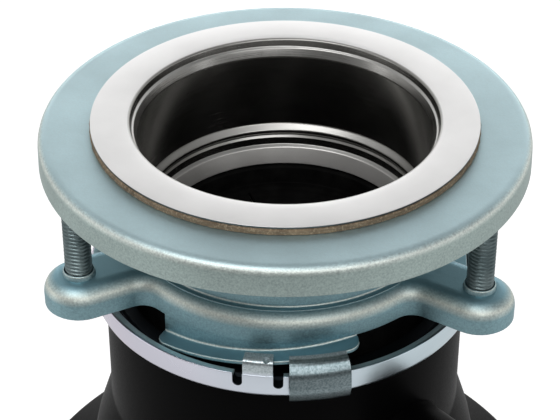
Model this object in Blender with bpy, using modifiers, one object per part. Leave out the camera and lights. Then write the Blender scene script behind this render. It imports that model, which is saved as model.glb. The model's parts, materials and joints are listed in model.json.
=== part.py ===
"""Kitchen garbage disposal on its three-bolt sink mount, built as separate named parts.

The shaft axis is the Z axis. The origin is the centre of the sink flange's rim, where
the disposal hangs from the sink, so heights are negative going down to the base. Sizes
and outlines below are in millimetres, and every mesh is made in metres. An azimuth is
in degrees about Z from the front (-Y), positive towards +X.
"""
import math

import bmesh
import bpy
from mathutils import Matrix, Vector

MM = 0.001                  # metres in a millimetre
BASE = -360.0               # height of the flat base
GAP = 0.3                   # clearance between pieces that rest on each other
OFF_SEAM = 0.12             # radians that a round cutter is turned, off its target's edges

# Sink flange and the stack that clamps the sink
RIM_RADIUS = 57.15
RIM_THICKNESS = 0.95
RIM_DISH = 0.95             # fall of the rim from its edge to the roll
ROLL_RADIUS = 48.4          # where the rim starts to roll down
THROAT_RADIUS = 43.5
SHEET = 0.9                 # wall of the drawn flange
GASKET_BOTTOM = -2.4
BACKING_RADIUS = 72.75
BACKING_SHEET = 1.2
BACKING_SKIRT_BOTTOM = -11.8

# Mounting ring with its ears, bolts and ramps
EAR_AZIMUTHS = (-60.0, 60.0, 180.0)
BOLT_CIRCLE = 67.0
BOLT_RADIUS = 4.0
EAR_HALF_WIDTH = 10.5
EAR_CORNER = 5.0
PLATE_TOP = -36.5
PLATE_SHEET = 1.6
SKIRT_RADIUS = 51.2
SKIRT_BOTTOM = -45.0
RAMP_RADIUS = 56.0
RAMP_HIGH = (26.0, -45.2)   # azimuth and height of each ramp's high end
RAMP_LOW = (-36.5, -50.6)   # azimuth and height of its low end
HUB_RADIUS = 46.4

# Swivel ring with its hooks and turning loops
SWIVEL_RADIUS = 59.5
SWIVEL_TOP = -50.1
SWIVEL_BOTTOM = -57.9
HOOK_AZIMUTHS = (-8.6, 0.0)
LOOP_AZIMUTHS = (4.5, 21.5)
NOTCH_WIDTH = 3.0           # degrees

# Housing, grinding parts and motor
NECK_RADIUS = 55.4
NECK_TOP = -59.5
SHELL_RADIUS = 93.0
SHELL_WALL = 2.5
SEAM = -216.0
SHAFT_RADIUS = 8.0
SHAFT_BOTTOM = -303.0
TURNTABLE_RADIUS = 60.2
TURNTABLE_TOP = -165.0
CHAMBER_BOTTOM = -170.0     # foot of the container
SUMP_TOP = -172.0           # flange of the drain housing
STATOR_RADIUS = 66.0
STATOR_TOP = -228.0
STATOR_BOTTOM = -272.0
FRAME_BOTTOM = -297.0       # face that the lower shell's posts meet
PANEL_TOP = -349.0          # floor of the lower shell
PANEL_BOTTOM = -352.0
KEY_HOLE = 9.0              # radius of the hole below the shaft's key socket
SCREW_HOLE = 2.35           # radius of a clearance hole for a 4 mm screw
SCREW_SHANK = 2.0
RIVET_HOLE = 3.5
BUTTON_HOLE = 5.4
POST_FLOOR = -309.0         # face in each post that a shell screw's head meets

# Waste outlet on the right and dishwasher inlet at the front right
OUTLET_HEIGHT = -191.0
OUTLET_BORE = 15.5
OUTLET_FACE = 97.0
OUTLET_SCREWS = 27.0        # from the bore's centre, to each side
ELBOW_RADIUS = 19.05
ELBOW_BEND = 30.0
INLET_AZIMUTH = 45.0
INLET_HEIGHT = -90.5
INLET_RADIUS = 11.1
INLET_END = 98.0            # from the shaft to the nipple's open end
BOSS_END = 80.0             # of the housing, round the nipple

# Places on the base panel: x and y
BUTTON_PLACE = (-36.0 * MM, -24.0 * MM)
COVER_PLACE = (0.0, 38.0 * MM)
COVER_SCREW_PLACE = (0.0, 55.0 * MM)
CABLE_PLACE = (42.0 * MM, 6.0 * MM)
GROUND_PLACE = (44.0 * MM, -22.0 * MM)

# Facets round a full turn
ROUND = 30
INNER_ROUND = 22
SMALL_ROUND = 8


# ---------------------------------------------------------------- scene and materials

for old in list(bpy.data.objects):
    bpy.data.objects.remove(old, do_unlink=True)

PARTS = bpy.data.collections.new("garbage_disposal")
GUIDES = bpy.data.collections.new("cutters")
for folder in (PARTS, GUIDES):
    bpy.context.scene.collection.children.link(folder)


def material(name, colour, roughness, metallic):
    """A Principled material of one colour."""
    made = bpy.data.materials.new(name)
    made.use_nodes = True
    shader = made.node_tree.nodes["Principled BSDF"]
    shader.inputs["Base Color"].default_value = (*colour, 1.0)
    shader.inputs["Roughness"].default_value = roughness
    shader.inputs["Metallic"].default_value = metallic
    return made


STAINLESS = material("stainless", (0.72, 0.71, 0.70), 0.22, 1.0)
ZINC = material("zinc_plate", (0.55, 0.65, 0.68), 0.42, 1.0)
SWIVEL_ZINC = material("iridescent_zinc", (0.70, 0.70, 0.76), 0.30, 1.0)
BOLT_STEEL = material("bolt_steel", (0.42, 0.43, 0.43), 0.40, 1.0)
FIBRE = material("fibre", (0.33, 0.25, 0.17), 0.90, 0.0)
RUBBER = material("rubber", (0.02, 0.02, 0.02), 0.65, 0.0)
PLASTIC = material("black_plastic", (0.025, 0.025, 0.027), 0.45, 0.0)
CAST = material("cast_metal", (0.50, 0.50, 0.49), 0.55, 1.0)
LAMINATION = material("lamination_steel", (0.30, 0.30, 0.31), 0.50, 1.0)
COPPER = material("enamelled_copper", (0.60, 0.27, 0.12), 0.35, 1.0)
BRONZE = material("bronze", (0.58, 0.42, 0.22), 0.40, 1.0)
RED = material("red_plastic", (0.60, 0.03, 0.02), 0.40, 0.0)
GREEN = material("green_screw", (0.05, 0.32, 0.10), 0.40, 0.4)


# ---------------------------------------------------------------- modelling helpers

def heading(azimuth):
    """Angle from +X, in radians, of an azimuth measured from the front."""
    return math.radians(azimuth - 90.0)


def spot(radius, azimuth):
    """World x and y, in metres, of a place on a circle about the shaft."""
    return (radius * MM * math.cos(heading(azimuth)), radius * MM * math.sin(heading(azimuth)))


def places_round(count, radius, first):
    """World places spread evenly round a circle about the shaft, from a first azimuth."""
    return [spot(radius, first + 360.0 / count * index) for index in range(count)]


RIVET_PLACES = places_round(2, 38.0, 90.0)
FLANGE_BOLT_PLACES = places_round(4, 70.8, 15.0)
THROUGH_BOLT_PLACES = places_round(4, 57.5, 45.0)
POST_PLACES = places_round(3, 48.0, 0.0)


def place(name, mesh, surface, centre=(0.0, 0.0), guide=False):
    """A new object, filed with the parts or, as a guide, with the cutters."""
    made = bpy.data.objects.new(name, mesh)
    made.location = (centre[0], centre[1], 0.0)
    if guide:
        made.hide_render = True
        made.display_type = "WIRE"
        made.rotation_euler.z = OFF_SEAM if centre != (0.0, 0.0) else 0.0
        GUIDES.objects.link(made)
    else:
        mesh.materials.append(surface)
        PARTS.objects.link(made)
    return made


def shade(mesh):
    """Smooth shading with creases kept at real corners."""
    mesh.shade_smooth()
    mesh.set_sharp_from_angle(angle=math.radians(35.0))


def turned(name, outline, surface=None, steps=ROUND, centre=(0.0, 0.0), guide=False):
    """A shape turned about Z from a (radius, height) outline; it is solid where the
    outline starts and ends on the axis, and a ring where the outline closes on itself."""
    count = len(outline)
    area = sum(outline[i][0] * outline[(i + 1) % count][1] - outline[(i + 1) % count][0] * outline[i][1]
               for i in range(count))
    points = outline if area < 0 else outline[::-1]
    on_axis = outline[0][0] == 0.0
    edges = [(i, i + 1) for i in range(count - 1)]
    if not on_axis:
        edges.append((count - 1, 0))
    mesh = bpy.data.meshes.new(name)
    mesh.from_pydata([(r * MM, 0.0, z * MM) for r, z in points], edges, [])
    made = place(name, mesh, surface, centre, guide)
    turn = made.modifiers.new("Turn", "SCREW")
    turn.angle = math.tau
    turn.steps = steps
    turn.render_steps = steps
    turn.use_smooth_shade = True
    turn.use_merge_vertices = on_axis
    turn.merge_threshold = 0.00001
    return made


def disc(name, radius, top, bottom, surface=None, steps=SMALL_ROUND, centre=(0.0, 0.0), guide=False):
    """An upright cylinder."""
    work = bmesh.new()
    middle = Matrix.Translation((0, 0, (top + bottom) / 2 * MM))
    bmesh.ops.create_cone(work, cap_ends=True, segments=steps, radius1=radius * MM, radius2=radius * MM,
                          depth=(top - bottom) * MM, matrix=middle)
    return from_bmesh(name, work, surface, centre, guide)


def band(name, outer, inner, top, bottom, surface=None, steps=INNER_ROUND, centre=(0.0, 0.0)):
    """A plain ring of rectangular section."""
    outline = [(outer, top), (outer, bottom), (inner, bottom), (inner, top)]
    return turned(name, outline, surface, steps, centre)


def sector(name, outline, start, end, steps, rise=0.0):
    """A guide: a closed outline swept about the shaft between two azimuths, while it rises."""
    work = bmesh.new()
    turn = Matrix.Rotation(heading(start), 4, "Z")
    corners = [work.verts.new(turn @ Vector((r * MM, 0.0, z * MM))) for r, z in outline]
    face = work.faces.new(corners)
    bmesh.ops.spin(work, geom=[face, *face.edges, *corners], cent=(0, 0, 0), axis=(0, 0, 1),
                   dvec=(0, 0, rise * MM / steps), angle=math.radians(end - start), steps=steps)
    return from_bmesh(name, work, guide=True)


def prism(name, outline, top, bottom, surface=None, centre=(0.0, 0.0), edge=0.0, guide=False):
    """An upright prism on an (x, y) outline, its upper edge rounded by the given radius."""
    work = bmesh.new()
    corners = [work.verts.new((x * MM, y * MM, bottom * MM)) for x, y in outline]
    base = work.faces.new(corners)
    grown = bmesh.ops.extrude_face_region(work, geom=[base])
    tops = [item for item in grown["geom"] if isinstance(item, bmesh.types.BMVert)]
    bmesh.ops.translate(work, verts=tops, vec=(0, 0, (top - bottom) * MM))
    if edge:
        upper = [e for e in work.edges if all(v in tops for v in e.verts)]
        segments = 2 if edge > 2.0 else 1
        bmesh.ops.bevel(work, geom=upper, offset=edge * MM, segments=segments, profile=0.5, affect="EDGES")
    return from_bmesh(name, work, surface, centre, guide)


def from_bmesh(name, work, surface=None, centre=(0.0, 0.0), guide=False):
    """An object from a finished bmesh, with its faces pointing out."""
    bmesh.ops.recalc_face_normals(work, faces=work.faces)
    mesh = bpy.data.meshes.new(name)
    work.to_mesh(mesh)
    work.free()
    shade(mesh)
    return place(name, mesh, surface, centre, guide)


def block(name, size, middle, top, surface=None, guide=False, turn=0.0):
    """A box of the given x, y and z size, centred on a place and hanging from a height."""
    half_x, half_y = size[0] / 2, size[1] / 2
    outline = [(-half_x, -half_y), (half_x, -half_y), (half_x, half_y), (-half_x, half_y)]
    made = prism(name, outline, top, top - size[2], surface, (middle[0], middle[1]), guide=guide)
    made.rotation_euler.z = turn
    return made


def level_bar(name, radius, start, end, azimuth, height, steps=20, across=0.0, surface=None):
    """A solid cylinder lying along a radius of the shaft, or beside it; a guide unless it has a surface."""
    work = bmesh.new()
    bmesh.ops.create_cone(work, cap_ends=True, segments=steps, radius1=radius * MM, radius2=radius * MM,
                          depth=(end - start) * MM)
    middle = Vector(((start + end) / 2 * MM, across * MM, height * MM))
    aim = Matrix.Rotation(heading(azimuth), 4, "Z") @ Matrix.Translation(middle)
    bmesh.ops.transform(work, matrix=aim @ Matrix.Rotation(math.pi / 2, 4, "Y"), verts=work.verts)
    return from_bmesh(name, work, surface, guide=surface is None)


def combine(target, others, operation):
    """Boolean modifiers that join guides to a part, or cut them away."""
    for other in others:
        step = target.modifiers.new(other.name, "BOOLEAN")
        step.operation = operation
        step.solver = "EXACT"
        step.object = other


def join(target, *others):
    combine(target, others, "UNION")


def cut(target, *others):
    combine(target, others, "DIFFERENCE")


def arc(radius, start, end, count, centre=(0.0, 0.0)):
    """Points along a circular arc, both ends included, angles in degrees."""
    angles = [math.radians(start + (end - start) * i / count) for i in range(count + 1)]
    return [(centre[0] + radius * math.cos(a), centre[1] + radius * math.sin(a)) for a in angles]


def screw(name, surface, centre, head_radius, head, shank_radius, tip, seat, steps=SMALL_ROUND):
    """A pan-headed screw along Z whose head spans the seat to head heights, slotted across."""
    point = tip + math.copysign(0.6 * shank_radius, seat - tip)
    outline = [(0.0, head), (head_radius, head), (head_radius, seat), (shank_radius, seat),
               (shank_radius, point), (0.7 * shank_radius, tip), (0.0, tip)]
    made = turned(name, outline, surface, steps, centre)
    cut(made, block(name + "_slot", (2.4 * head_radius, 1.2, 2.0), centre, head + 1.0, guide=True))
    return made


# ---------------------------------------------------------------- sink mount

def sink_flange():
    """Drawn flange: dished rim, rolled mouth, sleeve with the snap-ring groove, tapered nose."""
    inside = [(RIM_RADIUS, 0.0), (ROLL_RADIUS, -RIM_DISH), (45.0, -2.2), (THROAT_RADIUS, -5.6),
              (THROAT_RADIUS, -30.6), (41.6, -32.0), (43.0, -34.0), (40.6, -36.8), (39.0, -42.5)]
    outside = [(39.0 + SHEET, -42.5), (40.6 + SHEET, -37.4), (43.0 + SHEET, -34.4), (42.5, -33.4),
               (42.5, -30.8), (THROAT_RADIUS + SHEET, -30.2), (THROAT_RADIUS + SHEET, -6.0),
               (45.8, -3.2), (ROLL_RADIUS, -RIM_DISH - RIM_THICKNESS), (RIM_RADIUS, -RIM_THICKNESS)]
    turned("sink_flange", inside + outside, STAINLESS)


def fibre_gasket():
    """Gasket under the rim, following its dish."""
    slope = RIM_DISH / (RIM_RADIUS - ROLL_RADIUS)
    inner = 50.0
    top = -RIM_THICKNESS - GAP
    turned("fibre_gasket", [(RIM_RADIUS, top), (RIM_RADIUS, GASKET_BOTTOM), (inner, GASKET_BOTTOM),
                            (inner, top - slope * (RIM_RADIUS - inner))], FIBRE)


def backing_ring():
    """Pressed ring that the bolts push up against the underside of the sink."""
    top = GASKET_BOTTOM - GAP
    rim = BACKING_RADIUS
    inner = rim - BACKING_SHEET
    bore = ROLL_RADIUS + 0.4
    turned("backing_ring", [
        (bore, top), (rim - 3.0, top), (rim - 1.0, top - 0.9), (rim, top - 3.0),
        (rim, BACKING_SKIRT_BOTTOM), (inner, BACKING_SKIRT_BOTTOM), (inner, top - 3.4),
        (inner - 2.0, top - BACKING_SHEET), (bore, top - BACKING_SHEET)], ZINC, 36)


def ear_plan(inset):
    """Outline of the mounting ring seen from above, drawn in by the inset."""
    body = SKIRT_RADIUS - inset
    half = EAR_HALF_WIDTH - inset
    corner = EAR_CORNER + inset
    reach = math.sqrt((body + corner) ** 2 - (half + corner) ** 2)
    swing = math.degrees(math.atan2(half + corner, reach))
    tip = [(BOLT_CIRCLE + x, y) for x, y in arc(half, -90.0, 90.0, 4)]
    upper = arc(corner, 270.0, 180.0 + swing, 2, (reach, half + corner))
    side = tip + upper
    outline = []
    for azimuth in EAR_AZIMUTHS:
        turn = Matrix.Rotation(heading(azimuth), 2)
        lower = [(x, -y) for x, y in reversed(upper)]
        for x, y in lower + side:
            outline.append(tuple(turn @ Vector((x, y))))
        first = math.degrees(heading(azimuth)) + swing
        outline += arc(body, first, first + 120.0 - 2 * swing, 7)[1:-1]
    return outline


def mounting_ring():
    """Pressed ring with three ears, a hub that hooks over the snap ring and three ramps."""
    ring = prism("mounting_ring", ear_plan(0.0), PLATE_TOP, SKIRT_BOTTOM, ZINC, edge=3.0)
    hollow = prism("mounting_ring_hollow", ear_plan(PLATE_SHEET), PLATE_TOP - PLATE_SHEET,
                   SKIRT_BOTTOM - 1.0, edge=1.6, guide=True)
    bore = disc("mounting_ring_bore", HUB_RADIUS - 0.6, PLATE_TOP + 1.0, PLATE_TOP - 3.0, steps=ROUND,
                guide=True)
    hub = turned("mounting_ring_hub", [
        (HUB_RADIUS, -30.6), (HUB_RADIUS, PLATE_TOP - 0.8), (HUB_RADIUS - 1.1, PLATE_TOP - 0.8),
        (HUB_RADIUS - 1.1, -30.6), (44.7, -30.4), (44.7, -29.2), (HUB_RADIUS - 1.0, -29.2)], guide=True)
    cut(ring, hollow, bore)
    join(ring, hub)
    for index in range(6):
        azimuth = 30.0 + 60.0 * index
        cut(ring, block(f"mounting_ring_slot_{index + 1}", (8.2, 8.2, 12.0), spot(HUB_RADIUS, azimuth),
                        -24.4, guide=True, turn=heading(azimuth)))
    top, thickness = RAMP_LOW[1], 1.5
    wall_inside, wall_outside, wall_top = 50.1, 50.95, top + 7.5
    section = [(wall_inside, top - thickness), (RAMP_RADIUS, top - thickness), (RAMP_RADIUS, top),
               (wall_outside, top), (wall_outside, wall_top), (wall_inside, wall_top)]
    for index in range(3):
        offset = 120.0 * index
        ramp = sector(f"mounting_ring_ramp_{index + 1}", section, RAMP_LOW[0] + offset,
                      RAMP_HIGH[0] + offset, 6, RAMP_HIGH[1] - RAMP_LOW[1])
        join(ring, ramp)
    for index, azimuth in enumerate(EAR_AZIMUTHS):
        centre = spot(BOLT_CIRCLE, azimuth)
        collar = disc(f"mounting_ring_collar_{index + 1}", 5.6, -33.6, PLATE_TOP - 1.0, centre=centre,
                      guide=True)
        hole = disc(f"mounting_ring_hole_{index + 1}", BOLT_RADIUS + 0.5, -30.0, -42.0, steps=12,
                    centre=centre, guide=True)
        join(ring, collar)
        cut(ring, hole)


def mounting_bolts():
    """Bolts that turn in the ears and bear on the backing ring, heads below."""
    tip = GASKET_BOTTOM - 2 * GAP - BACKING_SHEET
    for index, azimuth in enumerate(EAR_AZIMUTHS):
        screw(f"mounting_bolt_{index + 1}", BOLT_STEEL, spot(BOLT_CIRCLE, azimuth), 6.2, -47.0,
              BOLT_RADIUS, tip, -43.2, 12)


def snap_ring():
    """Open wire ring in the groove of the sleeve, under the lip of the hub."""
    wire, middle = 1.0, 43.95
    curve = bpy.data.curves.new("snap_ring", "CURVE")
    curve.dimensions = "3D"
    curve.bevel_depth = wire * MM
    curve.bevel_resolution = 1
    curve.use_fill_caps = True
    path = arc(middle, 100.0, 440.0, 34)
    spline = curve.splines.new("POLY")
    spline.points.add(len(path) - 1)
    for point, (x, y) in zip(spline.points, path):
        point.co = (x * MM, y * MM, -32.0 * MM, 1.0)
    made = bpy.data.objects.new("snap_ring", curve)
    curve.materials.append(BOLT_STEEL)
    PARTS.objects.link(made)


def swivel_ring():
    """Lower ring that carries the disposal: wall and stepped floor, hooks and turning loops."""
    wall = SWIVEL_RADIUS - 1.5
    ring = turned("swivel_ring", [
        (SWIVEL_RADIUS, SWIVEL_TOP), (SWIVEL_RADIUS - 0.4, SWIVEL_BOTTOM), (52.4, SWIVEL_BOTTOM),
        (51.6, -57.0), (47.2, -57.0), (47.2, -55.5), (52.6, -55.5), (53.4, -56.4), (wall, -56.4),
        (wall, SWIVEL_TOP)], SWIVEL_ZINC)
    hook = [(59.35, -52.5), (59.35, -46.6), (58.3, -45.2), (55.0, -45.2), (55.0, -46.6), (57.6, -46.6),
            (58.15, -47.3), (58.15, -52.5)]
    loop = [(58.6, -59.5), (61.4, -57.4), (62.8, -53.4), (62.4, -49.0), (60.4, -45.6), (57.2, -44.2),
            (57.2, -45.7), (59.4, -46.8), (60.9, -49.4), (61.3, -53.2), (60.2, -56.2), (57.6, -57.4),
            (57.6, -59.5)]
    notch = [(61.0, -54.8), (61.0, -43.0), (56.5, -43.0), (56.5, -54.8)]
    for index in range(3):
        offset = 120.0 * index
        sides = (HOOK_AZIMUTHS[0] - NOTCH_WIDTH, HOOK_AZIMUTHS[1] + NOTCH_WIDTH)
        left = sector(f"swivel_notch_left_{index + 1}", notch, sides[0] + offset,
                      HOOK_AZIMUTHS[0] + offset, 1)
        right = sector(f"swivel_notch_right_{index + 1}", notch, HOOK_AZIMUTHS[1] + offset,
                       sides[1] + offset, 1)
        gap = sector(f"swivel_loop_gap_{index + 1}", notch, LOOP_AZIMUTHS[0] + offset,
                     LOOP_AZIMUTHS[1] + offset, 3)
        cut(ring, left, right, gap)
        join(ring, sector(f"swivel_hook_{index + 1}", hook, HOOK_AZIMUTHS[0] + 0.1 + offset,
                          HOOK_AZIMUTHS[1] - 0.1 + offset, 2),
             sector(f"swivel_loop_{index + 1}", loop, LOOP_AZIMUTHS[0] + 0.1 + offset,
                    LOOP_AZIMUTHS[1] - 0.1 + offset, 4))


def cushion_mount():
    """Rubber mount between the flange nose and the top of the container."""
    turned("cushion_mount", [
        (42.2, -38.5), (47.2, -38.5), (48.2, -39.8), (48.2, -44.5), (49.3, -46.0), (49.3, -55.2),
        (45.9, -55.2), (47.2, -54.2), (47.2, -51.6), (39.5, -51.6), (39.5, -45.5), (42.2, -45.5)],
        RUBBER, INNER_ROUND)


def splash_guard():
    """Rubber baffle in the throat, its floor slit into flaps."""
    guard = turned("splash_guard", [
        (41.7, -42.9), (41.7, -45.2), (39.2, -45.2), (38.6, -49.6), (9.0, -52.6), (9.0, -51.2),
        (36.6, -48.2), (37.4, -42.9)], RUBBER, INNER_ROUND)
    for index in range(6):
        azimuth = 23.5 + 60.0 * index
        slit = block(f"splash_guard_slit_{index + 1}", (26.0, 1.2, 14.0), spot(20.0, azimuth), -44.0,
                     guide=True, turn=heading(azimuth))
        cut(guard, slit)


# ---------------------------------------------------------------- housing and grinding parts

def grind_chamber():
    """Container: collar that the cushion grips, throat, chamber wall, foot flange and inlet nipple."""
    chamber = turned("grind_chamber", [
        (42.8, -51.9), (46.9, -51.9), (46.9, -53.8), (45.6, -54.6), (45.6, -64.0), (50.5, -72.0),
        (50.5, -118.0), (66.6, -150.0), (66.6, -165.8), (75.0, -165.8), (75.0, CHAMBER_BOTTOM),
        (64.0, CHAMBER_BOTTOM), (64.0, -150.6), (48.0, -118.8), (48.0, -73.0), (42.8, -65.0)],
        CAST, INNER_ROUND)
    nipple = level_bar("inlet_nipple", INLET_RADIUS, 48.4, INLET_END, INLET_AZIMUTH, INLET_HEIGHT)
    bead = level_bar("inlet_bead", 12.0, 91.0, 94.5, INLET_AZIMUTH, INLET_HEIGHT)
    bore = level_bar("inlet_bore", 8.6, 46.5, INLET_END + 2.0, INLET_AZIMUTH, INLET_HEIGHT)
    join(chamber, nipple, bead)
    cut(chamber, bore)
    for index, centre in enumerate(FLANGE_BOLT_PLACES):
        cut(chamber, disc(f"chamber_hole_{index + 1}", SCREW_HOLE, -160.0, SUMP_TOP, centre=centre, guide=True))


def upper_housing():
    """Outer moulding: neck with the inlet's boss, waist, sloping shoulder and wall."""
    inner = SHELL_RADIUS - SHELL_WALL
    housing = turned("upper_housing", [
        (46.3, NECK_TOP), (NECK_RADIUS, NECK_TOP), (NECK_RADIUS, -98.0), (57.6, -105.0), (60.5, -114.0),
        (63.0, -126.0), (66.5, -140.0), (78.0, -148.0), (88.0, -154.5), (92.0, -163.0),
        (SHELL_RADIUS, -174.0), (SHELL_RADIUS, SEAM), (inner, SEAM), (inner, -174.4), (89.6, -164.2),
        (86.4, -156.6), (76.8, -150.4), (64.0, -141.6), (60.5, -126.5), (58.0, -114.6), (55.2, -105.8),
        (53.0, -98.6), (53.0, -62.0), (46.3, -62.0)], PLASTIC)
    boss = level_bar("housing_inlet_boss", 14.0, 53.2, BOSS_END, INLET_AZIMUTH, INLET_HEIGHT)
    join(housing, boss)
    inlet_hole = level_bar("housing_inlet_hole", 12.2, 50.0, BOSS_END + 2.0, INLET_AZIMUTH, INLET_HEIGHT)
    pad = outlet_pad("housing_outlet_window", 2.0, 75.0, 100.0)
    skirt = block("housing_outlet_slot", (25.0, 68.0, 40.0), (0.0875, 0.0), OUTLET_HEIGHT, guide=True)
    cut(housing, inlet_hole, pad, skirt)


def outlet_pad(name, margin, near, far):
    """A guide: the block behind the outlet face, grown by a margin."""
    return block(name, (far - near, 64.0 + 2 * margin, 46.0 + 2 * margin), ((near + far) / 2 * MM, 0.0),
                 OUTLET_HEIGHT + 23.0 + margin, guide=True)


def chamber_seal():
    band("chamber_seal", 68.2, 65.2, CHAMBER_BOTTOM - GAP, SUMP_TOP + GAP, RUBBER)


def shredder_ring():
    """Stationary grinding ring with windows for the waste."""
    ring = turned("shredder_ring", [(63.6, -151.0), (63.6, -171.7), (61.2, -171.7), (61.2, -152.0)],
                  STAINLESS, INNER_ROUND)
    count = 12
    for index in range(count):
        azimuth = 360.0 / count * index
        window = block(f"shredder_window_{index + 1}", (8.0, 5.0, 10.0), spot(62.0, azimuth), -157.0,
                       guide=True, turn=heading(azimuth))
        cut(ring, window)


def turntable():
    """Spinning plate with its hub, rim, waste holes and rivet holes."""
    bore, hub_top, underside = 6.4, -162.6, -167.0
    plate = turned("turntable", [
        (bore, hub_top), (14.0, hub_top), (15.0, TURNTABLE_TOP), (57.0, TURNTABLE_TOP),
        (TURNTABLE_RADIUS, -163.6), (TURNTABLE_RADIUS, -169.5), (58.2, -169.5), (57.6, underside),
        (bore, underside)], STAINLESS, INNER_ROUND)
    for index in range(4):
        cut(plate, disc(f"turntable_hole_{index + 1}", 2.6, -160.0, -170.0, steps=8,
                        centre=spot(50.0, 25.0 + 90.0 * index), guide=True))
    for index, centre in enumerate(RIVET_PLACES):
        cut(plate, disc(f"turntable_rivet_hole_{index + 1}", RIVET_HOLE, -160.0, -170.0, centre=centre,
                        guide=True))


def impellers():
    """Two cast lugs that swing on rivets, each trailing outwards at rest."""
    outline = arc(8.5, 100.0, 260.0, 6) + arc(4.0, -80.0, 80.0, 4, (14.5, 0.0))
    lug_top, trail = -154.5, 20.0
    shoulder, clench = lug_top + GAP, -167.0 - GAP
    for index, centre in enumerate(RIVET_PLACES):
        lug = prism(f"impeller_{index + 1}", outline, lug_top, TURNTABLE_TOP + GAP, STAINLESS, centre, edge=1.2)
        lug.rotation_euler.z = heading(90.0 + 180.0 * index + trail)
        cut(lug, disc(f"impeller_hole_{index + 1}", RIVET_HOLE, -150.0, -170.0, centre=centre, guide=True))
        turned(f"impeller_rivet_{index + 1}", [
            (0.0, -151.8), (4.2, -151.8), (6.0, -153.0), (6.0, shoulder), (3.0, shoulder), (3.0, clench),
            (5.2, clench), (5.2, -168.8), (0.0, -168.8)], BOLT_STEEL, SMALL_ROUND, centre)


def turntable_nut():
    nut = disc("turntable_nut", 10.6, -156.8, -162.6 + GAP, BOLT_STEEL, 6)
    cut(nut, disc("turntable_nut_bore", 6.4, -150.0, -165.0, steps=16, guide=True))


def drain_housing():
    """Sump below the turntable, with the waste outlet, the bearing hub and the motor seat."""
    floor, ceiling = -208.0, -211.0
    drain = turned("drain_housing", [
        (75.0, SUMP_TOP), (75.0, -176.0), (66.4, -176.0), (66.4, -207.0), (STATOR_RADIUS, ceiling),
        (STATOR_RADIUS, STATOR_TOP + GAP), (61.0, STATOR_TOP + GAP), (61.0, ceiling), (17.0, ceiling),
        (17.0, -214.0), (12.2, -214.0), (12.2, -184.0), (15.4, -184.0), (18.5, floor), (60.4, floor),
        (62.4, -206.0), (62.4, SUMP_TOP)], CAST, INNER_ROUND)
    port = level_bar("outlet_port", OUTLET_BORE + 3.0, 62.8, 94.0, 90.0, OUTLET_HEIGHT)
    pad = outlet_pad("outlet_pad", 0.0, 91.0, OUTLET_FACE)
    join(drain, port, pad)
    cut(drain, level_bar("outlet_bore", OUTLET_BORE, 56.0, 100.0, 90.0, OUTLET_HEIGHT))
    for index, centre in enumerate(THROUGH_BOLT_PLACES):
        join(drain, disc(f"drain_boss_{index + 1}", 4.9, -210.2, -222.0, centre=centre, guide=True))
        cut(drain, disc(f"drain_boss_hole_{index + 1}", SCREW_HOLE, -212.6, -224.0, centre=centre, guide=True))
    for index, centre in enumerate(FLANGE_BOLT_PLACES):
        cut(drain, disc(f"drain_flange_hole_{index + 1}", SCREW_HOLE, -170.0, -178.0, centre=centre,
                        guide=True))
    for index, across in enumerate((-OUTLET_SCREWS, OUTLET_SCREWS)):
        cut(drain, level_bar(f"outlet_screw_hole_{index + 1}", SCREW_HOLE, 92.5, 99.0, 90.0, OUTLET_HEIGHT,
                             SMALL_ROUND, across))


def flange_bolts():
    """Bolts that hold the container down on the drain housing."""
    head, seat, tip = -162.4, -165.8 + GAP, -177.0
    for index, centre in enumerate(FLANGE_BOLT_PLACES):
        turned(f"flange_bolt_{index + 1}", [
            (0.0, head), (3.6, head), (3.6, seat), (SCREW_SHANK, seat), (SCREW_SHANK, tip), (0.0, tip)],
            BOLT_STEEL, SMALL_ROUND, centre)


# ---------------------------------------------------------------- motor

def rotor():
    """Shaft with its key socket, laminated core with end rings, slinger above the seal."""
    shaft = turned("motor_shaft", [
        (0.0, -155.6), (5.4, -155.6), (6.0, -156.2), (6.0, -167.3), (SHAFT_RADIUS, -167.3),
        (SHAFT_RADIUS, SHAFT_BOTTOM), (0.0, SHAFT_BOTTOM)], BOLT_STEEL, 16)
    cut(shaft, disc("key_socket", 3.7, -294.0, SHAFT_BOTTOM - 1.0, steps=6, guide=True))
    bore = SHAFT_RADIUS + GAP
    turned("rotor_core", [
        (bore, STATOR_TOP), (22.0, STATOR_TOP), (24.0, -221.0), (32.0, -221.0), (33.3, STATOR_TOP),
        (33.3, STATOR_BOTTOM), (32.0, -279.0), (24.0, -279.0), (22.0, STATOR_BOTTOM),
        (bore, STATOR_BOTTOM)], LAMINATION, 24)
    turned("slinger", [
        (bore, -176.0), (12.0, -176.0), (20.0, -180.0), (20.0, -181.6), (11.0, -178.0), (bore, -178.0)],
        RUBBER, 16)


def bearings():
    """Seal, bushes and thrust washer that the shaft runs in."""
    bore = SHAFT_RADIUS + GAP
    band("shaft_seal", 11.9, bore, -184.6, -190.6, RUBBER, 16)
    band("upper_bearing", 11.9, bore, -191.2, -213.0, BRONZE, 16)
    band("lower_bearing", 13.0, bore, -285.0, -302.4, BRONZE, 16)
    band("thrust_washer", 12.8, 4.6, SHAFT_BOTTOM - GAP, -304.7, BRONZE, 16)


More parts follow.
